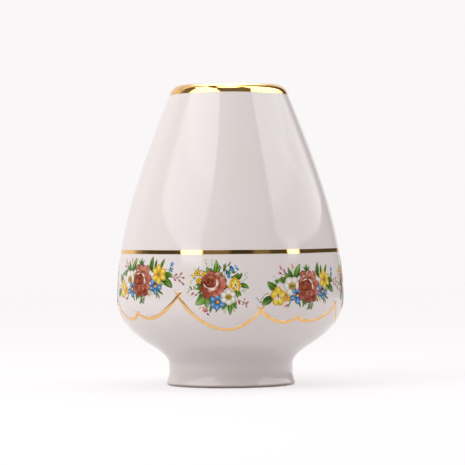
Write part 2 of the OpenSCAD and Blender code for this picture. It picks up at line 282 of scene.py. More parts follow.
goldGrain = {"streak": 420, "worn": 130, "wornShare": (0.56, 0.78), "roughShare": (0.25, 0.8),
             "fine": 300, "broad": 60}
polished = {"deep": (246, 190, 108), "bright": (255, 206, 126), "worn": (236, 186, 124), "thin": 0.3,
            "rough": (0.03, 0.07), "bump": 0.006}
brushed = {"deep": (222, 174, 112), "bright": (240, 200, 142), "worn": (236, 196, 148), "thin": 0.5,
           "rough": (0.16, 0.28), "bump": 0.012}


def goldFinish(name, look):    # bright gold, brushed on by hand: soft streaks, and thin places
    g, r = goldGrain, Recipe(name)
    streak = r.grain(g["streak"], 3)
    worn = r.within(r.grain(g["worn"], 4), *g["wornShare"]) * look["thin"]
    colour = r.mixed(streak, colourOf(*look["deep"]), colourOf(*look["bright"]))
    colour = r.mixed(worn, colour, colourOf(*look["worn"]))
    rough = r.within(streak, *g["roughShare"], *look["rough"])
    return r.finish(Base_Color=colour, Metallic=1.0, Roughness=rough,
                    Normal=r.bump(r.grain(g["fine"], 2) + r.grain(g["broad"], 2), look["bump"] * mm))


biscuitLook = {
    "clay": (222, 212, 198), "stain": (170, 140, 112), "stainGrain": 160, "stainShare": (0.42, 0.7),
    "rough": 0.6, "uneven": 0.25, "roughGrain": 900, "bumpGrain": 1500, "bump": 0.02, "strength": 0.8,
}


def biscuitFinish():           # bare fired porcelain, matt and a little stained
    g, r = biscuitLook, Recipe("bareBiscuit")
    stain = r.within(r.grain(g["stainGrain"], 5), *g["stainShare"])
    return r.finish(Base_Color=r.mixed(stain, colourOf(*g["clay"]), colourOf(*g["stain"])),
                    Roughness=r.grain(g["roughGrain"], 3) * g["uneven"] + g["rough"],
                    Normal=r.bump(r.grain(g["bumpGrain"], 4), g["bump"] * mm, g["strength"]))


glaze = glazeFinish()
biscuit = biscuitFinish()
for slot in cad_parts["biscuit_body"].material_slots:
    slot.material = biscuit
print("finishes ready")

# the glaze coats

coatShape = {"wallPoints": 104, "arcPoints": 11, "bowlPoints": 16, "levelPoints": 5, "around": 192,
             "bowlStart": 1.0}        # millimetres above the turn into the belly


def side(low, high, out):      # the wall's line between two heights
    return wallLine(np.linspace(low, high, coatShape["wallPoints"]), out)


def levelLine(radius, height):      # points of a level surface, from the axis to just inside a radius
    n = coatShape["levelPoints"]
    return np.stack([np.arange(n) / n * radius, np.full(n, height)], -1)


def outerLine(d):              # the outer finished surface at depth d: foot edge, wall, lip, half the nose
    n, t = coatShape["arcPoints"], w["thickness"]
    edge = (w["footWidth"] / 2 - w["footRound"], w["footRound"])
    return np.vstack([
        arcLine(edge, w["footRound"] - d, -math.radians(w["glazeStop"]), footLean, n)[:-1],
        side(flareHeight, shoulderHeight, -d)[:-1],
        arcLine((lipRadius, lipHeight), w["lipRound"] - d, shoulderLean, turn / 4, n)[:-1],
        arcLine((lipRadius, w["height"] - t / 2), t / 2 - d, turn / 4, turn / 2, n)])


def innerLine(d):
    # the cavity's surface at depth d, from the axis at the floor up to the nose: the bowl is a Bezier
    # curve from the wall (a) to the level floor (e), set off by d along its normal
    n, t = coatShape["arcPoints"], w["thickness"]
    low = w["coveHeight"] + coatShape["bowlStart"]
    floor = w["recessDepth"] + w["baseThickness"]
    slope = wallAt(np.array([low]))[1][0]
    a = wallLine(np.array([low]), -t)[0]
    b = a - w["bowlPull"] * np.array([slope, 1]) / math.sqrt(1 + slope ** 2)
    e = np.array([w["floorWidth"] / 2, floor])
    c = e + [w["bowlPull"], 0]
    k = np.linspace(1, 0, coatShape["bowlPoints"])[:, None]
    curve = (1 - k) ** 3 * a + 3 * (1 - k) ** 2 * k * b + 3 * (1 - k) * k ** 2 * c + k ** 3 * e
    along = 3 * ((1 - k) ** 2 * (b - a) + 2 * (1 - k) * k * (c - b) + k ** 2 * (e - c))
    curve += d * np.stack([-along[:, 1], along[:, 0]], -1) / np.linalg.norm(along, axis=1, keepdims=True)
    return np.vstack([
        levelLine(w["floorWidth"] / 2, floor - d), curve[:-1],
        side(low, shoulderHeight, d - t)[:-1],
        arcLine((lipRadius, lipHeight), w["lipRound"] - t + d, shoulderLean, turn / 4, n)[:-1],
        arcLine((lipRadius, w["height"] - t / 2), t / 2 - d, turn * 0.75, turn / 2, n)])


def recessLine(d):             # the recess under the base at depth d, from the axis out and down
    lean = math.sqrt(1 + w["ringDraft"] ** 2)
    ring = w["footWidth"] / 2 - w["footRound"] - w["ringWidth"]
    deep = w["recessDepth"] - w["recessRound"]
    centre = (ring - w["ringDraft"] * deep - w["recessRound"] * lean, deep)
    corner = arcLine(centre, w["recessRound"] + d, turn / 4, math.atan(w["ringDraft"]), 10)
    last = [[ring - w["ringDraft"] * w["dryHeight"] + d * lean, w["dryHeight"]]]
    return np.vstack([levelLine(centre[0], w["recessDepth"] + d), corner, last])


def coatPiece(make, name, line, node):      # its finished surface and the one a coat deeper, joined
    piece = make(name, line, coatShape["around"], glaze, "glaze")
    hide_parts(node)


coat = w["glaze"]
coatPiece(ringPiece, "outerGlaze", np.vstack([outerLine(0), outerLine(coat)[::-1]]), "outer_glaze")
coatPiece(domePiece, "innerGlaze", np.vstack([innerLine(coat), innerLine(0)[::-1]]), "inner_glaze")
coatPiece(domePiece, "baseGlaze", np.vstack([recessLine(0), recessLine(coat)[::-1]]), "base_glaze")
print("glaze coats ready")

# gilding on the lip and the band

giltShape = {                  # millimetres; the lip's gold ends lipTurn degrees over the top, and at both
    # sides its lower edge hangs lipSide lower
    "thickness": 0.12, "sunk": 0.06, "around": 288, "arcPoints": 16, "dropPoints": 4,
    "lipDrop": 0.3, "lipTurn": 150, "lipWobble": 0.10, "lipSide": 0.8, "stopWobble": 0.08,
    "bandWobble": 0.07, "bandWidth": 2.1,
}
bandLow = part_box("gilt_band")[0][2] / mm


def wobble(angle, size, seed, waves=(3, 5, 8, 13, 21)):      # a sum of whole waves, so that it meets itself
    draw = np.random.default_rng(seed)
    return size * sum(draw.uniform(0.3, 1) * np.sin(n * angle + draw.uniform(0, turn)) / n ** 0.5
                      for n in waves)


def lipGold():                 # the outer face and the sunk one, joined: wall, lip round, then round the nose
    g, t = giltShape, w["thickness"]
    angle = np.arange(g["around"]) * turn / g["around"]
    low = (shoulderHeight - g["lipDrop"] + wobble(angle, g["lipWobble"], 11)
           - g["lipSide"] * np.sin(angle) ** 2)
    stop = math.radians(90 + g["lipTurn"]) + wobble(angle, g["stopWobble"], 12)
    share = np.arange(g["dropPoints"]) / g["dropPoints"]
    z = low[:, None] + (shoulderHeight - low[:, None]) * share

    def face(out):
        top = arcLine((lipRadius, lipHeight), w["lipRound"] + out, shoulderLean, turn / 4, g["arcPoints"])
        top = np.broadcast_to(top[:-1], (len(angle), len(top) - 1, 2))
        a = turn / 4 + (stop[:, None] - turn / 4) * np.linspace(0, 1, g["arcPoints"])
        nose = np.stack([lipRadius + (t / 2 + out) * np.cos(a),
                         w["height"] - t / 2 + (t / 2 + out) * np.sin(a)], -1)
        return np.concatenate([wallLine(z, out), top, nose], 1)

    line = np.concatenate([face(g["thickness"]), face(-g["sunk"])[:, ::-1]], 1)
    piece = ringPiece("lipGold", line, g["around"], goldFinish("lipGilding", polished), "gold")
    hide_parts("lip_gilding")


def bandGold():                # a flat line with sharp sides and a sunk back, its two edges a little uneven
    g = giltShape
    angle = np.arange(g["around"]) * turn / g["around"]
    low = bandLow + wobble(angle, g["bandWobble"], 21)
    high = bandLow + g["bandWidth"] + wobble(angle, g["bandWobble"], 22)
    share = np.array([0, 0.01, 0.5, 0.99, 1, 0.5])
    out = np.array([-g["sunk"], *[g["thickness"]] * 3, -g["sunk"], -g["sunk"]])
    z = low[:, None] + (high - low)[:, None] * share
    piece = ringPiece("bandGold", wallLine(z, out), g["around"], goldFinish("bandGilding", polished), "gold")
    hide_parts("gilt_band")


lipGold()
bandGold()
print("lip and band ready")


def pillowFaces(count, rows, columns):
    # many pillows at once: each is a grid of rows, closed across, with a pole at both ends
    j = np.arange(columns)
    m = (j + 1) % columns
    last = (rows - 1) * columns
    quads = gridFaces(rows, columns, False, True)[:, ::-1]
    fans = np.vstack([np.stack([np.full(columns, rows * columns), j, m], -1),
                      np.stack([np.full(columns, rows * columns + 1), last + m, last + j], -1)])
    shift = (np.arange(count) * (rows * columns + 2))[:, None, None]
    return ((quads + shift).reshape(-1, 4).tolist() + (fans + shift).reshape(-1, 3).tolist())


# festoons: single strokes that cross at their ends

strokeShape = {
    "width": 2.0, "crown": 0.12, "sunk": 0.06, "tail": 2.3, "round": 2.2, "steps": 64,
    "across": (-1, -0.94, -0.72, -0.36, 0, 0.36, 0.72, 0.94, 1),
    "sway": 0.10, "swayWaves": (1, 2, 3, 5), "swayPitch": 2.3, "press": 0.10, "taper": (10, 0.6),
}
quarter = turn / 4
swagPlaces = {                 # share of a quarter turn and height above the widest line, repeat by repeat
    "wide": ((-0.235, 2.9), (-0.211, -3.2), (-0.23, 0.8), (-0.24, -0.6)),
    "short": ((0.228, -4.7), (0.22, -5.2), (0.214, -4.2), (0.216, -4.6)),
    "long": ((0.462, -9.2), (0.455, -8.2), (0.46, -8.6), (0.453, -7.0)),
}
swagLows = {"wide": (-14.2, -13.4, -14.0, -13.8), "short": (-10.7, -10.2, -10.7, -9.9),
            "long": (-10.3, -9.6, -10.1, -7.9)}


def strokePiece(name, start, end, low, shift, seed):
    # the middle line: straight from start to end, less a rounded sag; it runs on past both ends.
    # Across it the stroke is a low crown, and its half width tapers away over the last few steps
    g, draw = strokeShape, np.random.default_rng(seed)
    over = g["tail"] / ((end[0] - start[0]) * w["bellyWidth"] / 2)
    x = np.linspace(0, 1, g["steps"])
    t = (1 + 2 * over) * x - over
    wave = g["sway"] * sum(draw.uniform(-1, 1) * np.sin(n * g["swayPitch"] * x + draw.uniform(0, turn))
                           for n in g["swayWaves"])
    angle = start[0] + (end[0] - start[0]) * t
    z = (w["bellyHeight"] + start[1] + (end[1] - start[1]) * t + wave
         - ((start[1] + end[1]) / 2 - low) * (1 - abs(2 * t - 1) ** g["round"]))
    radius, slope = wallAt(z)
    rise = np.sqrt(1 + slope ** 2)
    dx, dy = np.gradient(angle) * radius, np.gradient(z) * rise
    size = np.hypot(dx, dy)
    pulse = np.sin(draw.uniform(3, 5) * turn * x + draw.uniform(0, turn)) * draw.uniform(0.4, 1)
    power, full = g["taper"]
    half = (g["width"] / 2 * (1 - abs(2 * x - 1) ** power) ** full * (1 + g["press"] * pulse))[:, None]
    u = np.array(g["across"])
    out = g["crown"] * (1 - abs(u) ** 3) + 0 * half
    out[:, [0, -1]] = -g["sunk"]
    out[[0, -1]] = -g["sunk"] / 2
    points = onWall(angle[:, None] - u * half * (dy / size / radius)[:, None] + shift,
                    z[:, None] + u * half * (dx / size / rise)[:, None], out)
    ends = points[[0, -1], len(u) // 2]
    body = points[1:-1]
    return newPiece(name, np.vstack([body.reshape(-1, 3), ends]), pillowFaces(1, len(body), len(u)),
                    strokeGold)


strokeGold = goldFinish("strokeGilding", brushed)
nextKind = {"wide": ("short", 0), "short": ("long", 0), "long": ("wide", 1)}     # and how many repeats on
for i in range(4):
    for k, kind in enumerate(swagPlaces):          # each swag runs from its own place to the next one's
        start = swagPlaces[kind][i]
        follows, onward = nextKind[kind]
        end = swagPlaces[follows][(i + onward) % 4]
        piece = strokePiece(kind + "Stroke" + str(i + 1), (start[0] * quarter, start[1]),
                            ((end[0] + onward) * quarter, end[1]), swagLows[kind][i], i * quarter,
                            40 + 3 * i + k)
        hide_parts(kind + "_swag_" + str(i + 1))
print("festoons ready")

# painted shapes: closed lobes laid on the wall

lobeShape = {                  # across in shares of the half width, the rest in millimetres out from the wall
    "rows": 12, "across": (-1, -0.86, -0.55, -0.25, 0, 0.25, 0.55, 0.86, 1),
    "sunk": -0.02, "base": 0.02, "layer": 0.010, "step": 0.0015, "crown": 0.014, "sharp": 60,
}


def lobeLines(rows):
    # each lobe: its spine bows from a to b, and its half width is sin(pi * v ** e) ** q of the full one
    ax, ay, bx, by, width, bend, layer, step = [rows[:, i, None] for i in range(8)]
    widest, full = rows[:, 8, None], rows[:, 9, None]
    v = 0.5 - 0.5 * np.cos(np.linspace(0, math.pi, lobeShape["rows"] + 2))
    dx, dy = bx - ax, by - ay
    bow = bend * 4 * v * (1 - v)
    lean = bend * 4 * (1 - 2 * v)
    x, y = ax + dx * v - dy * bow, ay + dy * v + dx * bow
    tx, ty = dx - dy * lean, dy + dx * lean
    size = np.hypot(tx, ty)
    half = width / 2 * np.sin(math.pi * v ** (math.log(0.5) / np.log(widest))).clip(0) ** full
    high = lobeShape["base"] + lobeShape["layer"] * layer + lobeShape["step"] * step
    return v, x, y, -ty / size, tx / size, half, high


def lobePoints(rows):          # in the spray's plane: across, up, out, and each point's u and v
    v, x, y, nx, ny, half, high = lobeLines(rows)
    u = np.array(lobeShape["across"])
    count, inner = len(rows), slice(1, -1)
    crown = lobeShape["crown"] * (1 - u ** 2) * np.sin(math.pi * v[inner, None]) ** 0.5
    body = np.stack([x[:, inner, None] + nx[:, inner, None] * half[:, inner, None] * u,
                     y[:, inner, None] + ny[:, inner, None] * half[:, inner, None] * u,
                     high[:, :, None] + crown], -1)
    body[:, :, [0, -1], 2] = lobeShape["sunk"]
    ends = np.stack([x[:, [0, -1]], y[:, [0, -1]], np.full((count, 2), lobeShape["sunk"])], -1)
    uv = np.broadcast_to(np.stack(np.meshgrid(u, v[inner]), -1), body.shape[:3] + (2,))
    uvEnds = np.broadcast_to(np.array([[0, 0], [0, 1.0]]), (count, 2, 2))
    return (np.concatenate([body.reshape(count, -1, 3), ends], 1),
            np.concatenate([uv.reshape(count, -1, 2), uvEnds], 1))


paintTone = {"veil": 0.012, "strength": 0.80, "darkest": 0.004, "lightest": 0.86}
styleRows = {                  # colours at the base, middle, tip and rim, then how much of the rim shows, the
    # darker side, the rib, the streaks, the veins, the widest place and the fullness
    "leaf": ((54, 84, 36), (84, 122, 46), (136, 164, 76), (46, 74, 32),
             0.5, 0.26, 0.28, 0.16, 0.12, 0.45, 0.66),
    "leafBright": ((60, 98, 38), (100, 146, 52), (152, 182, 84), (50, 86, 34),
                   0.6, 0.26, 0.3, 0.16, 0.14, 0.5, 0.7),
    "leafDark": ((46, 74, 32), (68, 104, 42), (116, 146, 68), (40, 66, 30),
                 0.4, 0.28, 0.3, 0.15, 0.12, 0.45, 0.66),
    "leafPale": ((158, 176, 130), (182, 194, 156), (202, 206, 184), None, 0, 0.05, 0.0, 0.15, 0, 0.5, 0.8),
    "leafBroad": ((70, 104, 46), (104, 142, 64), (146, 174, 100), (56, 88, 40),
                  0.7, 0.22, 0.3, 0.14, 0.18, 0.5, 0.58),
    "roseBrown": ((112, 50, 36), (158, 84, 64), (192, 120, 98), (224, 174, 154),
                  0.6, 0.1, 0, 0.34, 0, 0.62, 0.5),
    "rosePink": ((146, 72, 58), (198, 126, 106), (222, 160, 142), (240, 204, 192),
                 0.7, 0.12, 0, 0.28, 0, 0.62, 0.5),
    "roseCoral": ((132, 54, 40), (182, 98, 78), (212, 138, 118), (238, 198, 182),
                  0.7, 0.12, 0, 0.3, 0, 0.62, 0.5),
    "roseRust": ((104, 42, 30), (152, 70, 48), (182, 98, 74), (212, 146, 124),
                 0.6, 0.14, 0, 0.36, 0, 0.6, 0.5),
    "roseWine": ((88, 34, 26), (124, 54, 42), (152, 78, 60), (190, 124, 106), 0.6, 0.1, 0, 0.3, 0, 0.6, 0.5),
    "roseCup": ((92, 38, 28), (138, 66, 48), (170, 98, 76), (110, 48, 36), 0.45, 0.15, 0, 0.36, 0, 0.5, 0.5),
    "roseArc": ((106, 46, 34), (158, 86, 64), (122, 56, 42), (190, 124, 100),
                0.6, 0.25, 0, 0.32, 0, 0.5, 0.55),
    "roseWarm": ((142, 72, 54), (192, 122, 98), (158, 86, 66), (222, 166, 144),
                 0.6, 0.2, 0, 0.28, 0, 0.5, 0.55),
    "rosePale": ((196, 128, 108), (244, 214, 202), (206, 144, 124), (252, 238, 230),
                 0.5, 0.12, 0, 0.18, 0, 0.5, 0.5),
    "roseDark": ((88, 36, 26), (106, 46, 34), (120, 56, 42), (80, 32, 24), 0.5, 0.1, 0, 0.35, 0, 0.5, 0.5),
    "roseLine": ((88, 34, 28), (100, 40, 34), (110, 50, 42), None, 0, 0, 0, 0.1, 0, 0.5, 0.6),
    "roseGlow": ((170, 84, 50), (204, 124, 80), (168, 86, 56), None, 0, 0, 0, 0.2, 0, 0.5, 0.6),
    "yellow": ((206, 128, 44), (236, 190, 58), (244, 212, 88), (214, 158, 44),
               0.4, 0.08, 0.08, 0.22, 0, 0.62, 0.5),
    "yellowPale": ((236, 190, 80), (246, 218, 110), (248, 226, 140), (226, 176, 60),
                   0.3, 0, 0, 0.2, 0, 0.6, 0.5),
    "amber": ((190, 106, 40), (226, 156, 54), (236, 184, 84), (186, 116, 50), 0.4, 0.1, 0, 0.2, 0, 0.6, 0.55),
    "cream": ((232, 210, 200), (240, 222, 214), (236, 214, 206), None, 0, 0, 0, 0.2, 0, 0.5, 0.6),
    "white": ((180, 154, 106), (236, 222, 206), (246, 238, 230), (168, 142, 118),
              0.8, 0.08, 0.1, 0.24, 0, 0.62, 0.48),
    "olive": ((150, 128, 50), (178, 158, 62), (160, 138, 56), (124, 100, 44), 0.4, 0.1, 0, 0.4, 0, 0.5, 0.5),
    "ring": ((178, 112, 60), (196, 136, 78), (176, 108, 60), None, 0, 0.05, 0, 0.3, 0, 0.5, 0.5),
    "greenEye": ((70, 100, 40), (96, 132, 48), (74, 106, 44), (54, 84, 38), 0.5, 0.1, 0, 0.3, 0, 0.5, 0.5),
    "blue": ((34, 76, 122), (70, 128, 178), (118, 164, 206), (42, 90, 142),
             0.5, 0.12, 0.06, 0.34, 0, 0.62, 0.5),
    "bluePale": ((96, 140, 180), (146, 176, 208), (120, 156, 194), (96, 136, 178),
                 0.4, 0.1, 0, 0.2, 0, 0.55, 0.6),
    "blueDark": ((28, 74, 104), (46, 108, 148), (84, 144, 184), (24, 62, 92),
                 0.5, 0.25, 0, 0.25, 0, 0.5, 0.62),
    "wine": ((120, 40, 48), (146, 58, 62), (186, 112, 112), None, 0, 0.1, 0, 0.2, 0, 0.5, 0.6),
    "budPink": ((186, 108, 100), (214, 140, 132), (228, 172, 164), None, 0, 0.1, 0, 0.2, 0, 0.5, 0.65),
    "budOrange": ((214, 140, 80), (232, 168, 110), (238, 190, 140), None, 0, 0, 0, 0.2, 0, 0.5, 0.65),
    "stem": ((120, 122, 78), (110, 128, 74), (124, 134, 88), None, 0, 0, 0, 0.1, 0, 0.5, 0.25),
    "stemDark": ((96, 78, 60), (104, 92, 62), (96, 104, 64), None, 0, 0, 0, 0.1, 0, 0.5, 0.25),
    "roseEdge": ((96, 42, 34), (112, 54, 42), (124, 64, 52), None, 0, 0, 0, 0.1, 0, 0.6, 0.5),
    "leafEdge": ((40, 62, 28), (50, 76, 34), (70, 98, 48), None, 0, 0, 0, 0.1, 0, 0.45, 0.62),
    "yellowEdge": ((150, 84, 34), (178, 112, 38), (196, 132, 48), None, 0, 0, 0, 0.1, 0, 0.62, 0.5),
    "whiteEdge": ((150, 124, 88), (190, 170, 146), (198, 180, 160), None, 0, 0, 0, 0.1, 0, 0.62, 0.48),
    "blueEdge": ((24, 54, 92), (34, 76, 122), (44, 90, 140), None, 0, 0, 0, 0.1, 0, 0.62, 0.5),
    "stemPale": ((160, 170, 136), (150, 166, 130), (168, 178, 148), None, 0, 0, 0, 0.1, 0, 0.5, 0.25),
}


def style(inner, middle, outer, rim, rimShare, side, rib, streak, veins, widest, full):
    # the screen colours as paint: linear light, less the gloss's veil
    g = paintTone
    light = np.array([colourOf(*c) for c in (inner, middle, outer, rim or outer)])
    return {"colours": ((light - g["veil"]) / g["strength"]).clip(g["darkest"], g["lightest"]),
            "rimShare": rimShare if rim else 0.0, "side": side, "marks": (rib, streak, veins),
            "widest": widest, "full": full}


styles = {name: style(*row) for name, row in styleRows.items()}


def petal(name, ax, ay, bx, by, width, layer=0, bend=0.0, step=0):       # one lobe from a to b
    return [(name, ax, ay, bx, by, width, bend, layer, step)]


def spot(name, x, y, rx, ry, layer=0, tilt=0.0):      # a filled ellipse
    c, s = math.cos(math.radians(tilt)) * rx, math.sin(math.radians(tilt)) * rx
    return petal(name, x - c, y - s, x + c, y + s, 2 * ry, layer)


def arcs(name, x, y, radius, start, end, width, layer=0, count=1, squash=1.0, overlap=0.2):
    # crescents along a circle between two angles, the end of one over the start of the next
    found, span = [], (end - start) / count
    for k in range(count):
        a, b = start + span * (k - overlap * (count > 1)), start + span * (k + 1 + overlap * (count > 1))
        p, q = [(x + radius * math.cos(math.radians(t)), y + squash * radius * math.sin(math.radians(t)))
                for t in (a, b)]
        sag = (1 - math.cos(math.radians(b - a) / 2)) / (2 * math.sin(math.radians(b - a) / 2))
        found += petal(name, *p, *q, width, layer, -sag, k)
    return found


def petals(name, x, y, inner, outer, count, width, layer=0, start=0.0, squash=1.0, tilt=0.0):
    # a ring of petals, squashed across and turned; each one sits a little higher than the one before
    found = []
    c, s = math.cos(math.radians(tilt)), math.sin(math.radians(tilt))
    for k in range(count):
        a = math.radians(start + 360 * k / count)
        px, py = math.cos(a) * squash, math.sin(a)
        dx, dy = px * c - py * s, px * s + py * c
        narrow = math.hypot(math.sin(a) * squash, math.cos(a))
        found += petal(name, x + inner * dx, y + inner * dy, x + outer * dx, y + outer * dy, width * narrow,
                       layer, 0.04 * (-1) ** k, k)
    return found


def line(name, points, width, layer=0, bend=0.12):     # a stem or a tendril through some points
    found = []
    for k, (a, b) in enumerate(zip(points[:-1], points[1:])):
        found += petal(name, *a, *b, width, layer, bend * (-1) ** k if bend else 0, k)
    return found


def sprig(name, x, y, tipX, tipY, size, pairs, layer=0, stemName="stem"):   # pairs of leaflets along a stem
    found = line(stemName, [(x, y), (tipX, tipY)], 0.3, layer, 0.05)
    dx, dy = tipX - x, tipY - y
    ux, uy = dx / math.hypot(dx, dy), dy / math.hypot(dx, dy)
    for k in range(pairs):
        t = (k + 0.7) / (pairs + 0.3)
        fx, fy = x + dx * t, y + dy * t
        for hand in (-1, 1):
            found += petal(name, fx, fy, fx + size * (0.6 * ux - hand * 0.8 * uy),
                           fy + size * (0.6 * uy + hand * 0.8 * ux), size * 0.42, layer, 0.1 * hand, 1)
    return found


def daisy(x, y, size, layer, start=0.0, squash=1.0):       # six white petals round a green eye
    return (petals("white", x, y, size * 0.15, size, 6, size * 0.92, layer, start, squash)
            + spot("ring", x, y, size * 0.44 * squash, size * 0.44, layer + 2)
            + spot("olive", x, y + 0.05, size * 0.34 * squash, size * 0.34, layer + 3)
            + spot("greenEye", x, y + 0.05, size * 0.17 * squash, size * 0.16, layer + 4))


def starFlower(x, y, size, layer, start=90.0, count=6, eye=0.22):      # blue petals round a yellow eye
    return (petals("blue", x, y, size * 0.12, size, count, size * 0.86, layer, start)
            + spot("roseDark", x, y, size * (eye + 0.1), size * (eye + 0.1), layer + 2)
            + spot("amber", x, y, size * eye, size * eye, layer + 3))


def smallYellow(x, y, size, layer, start=20.0):      # five petals round an olive eye
    return (petals("yellow", x, y, 0.2, size, 5, size * 0.95, layer, start)
            + spot("olive", x, y, size * 0.36, size * 0.34, layer + 2)
            + spot("roseLine", x + 0.1, y - 0.05, size * 0.14, size * 0.12, layer + 3))


edgedWidth = 1.2               # narrower shapes have no outline
edged = {                      # painted shapes with a darker outline: its colour and how far it shows
    "roseBrown": ("roseEdge", 0.28), "rosePink": ("roseEdge", 0.22), "roseCoral": ("roseEdge", 0.24),
    "roseRust": ("roseEdge", 0.28), "roseWine": ("roseEdge", 0.2), "roseWarm": ("roseEdge", 0.2),
    "leaf": ("leafEdge", 0.16), "leafBright": ("leafEdge", 0.2), "leafBroad": ("leafEdge", 0.22),
    "yellow": ("yellowEdge", 0.16), "white": ("whiteEdge", 0.18), "blue": ("blueEdge", 0.16),
}


def outlined(rows):            # under each edged shape, a slightly larger dark one
    found = []
    for name, ax, ay, bx, by, width, bend, layer, step in rows:
        if name in edged and width > edgedWidth:
            dark, grow = edged[name]
            share = grow / 2 / math.hypot(bx - ax, by - ay)
            found.append((dark, ax, ay, bx + (bx - ax) * share, by + (by - ay) * share, width + grow, bend,
                          layer, step - 0.5))
        found.append((name, ax, ay, bx, by, width, bend, layer, step))
    return found


def fringe(x, y, wide, high, count, size):      # leaflets and tendrils that point outward around an ellipse
    found = []
    for k in range(count):
        a = turn * (k + 0.35 * math.sin(7.1 * k)) / count
        reach, lean = 1 + 0.35 * math.sin(5.3 * k + 1), a + 0.5 * math.sin(3.7 * k)
        ax, ay = x + wide * math.cos(a), y + high * math.sin(a)
        bx, by = ax + size * reach * math.cos(lean), ay + size * reach * math.sin(lean)
        name = ("leafDark", "leaf", "leafDark", "leafPale", "leafBright")[k % 5]
        found += petal(name, ax, ay, bx, by, size * 0.36, 0, 0.12 * (-1) ** k, k % 4)
        found += petal("leafDark", ax, ay, (ax + bx) / 2 + 0.5 * size * math.sin(lean),
                       (ay + by) / 2 - 0.5 * size * math.cos(lean), size * 0.26, 0, 0.1, k % 3)
    return found


def shapes(*entries):          # painted in turn: a row that starts with a style is a petal, any other
    # starts with the function that makes it
    found = []
    for entry in entries:
        maker, values = (petal, entry) if isinstance(entry[0], str) else (entry[0], entry[1:])
        found += maker(*values)
    return found


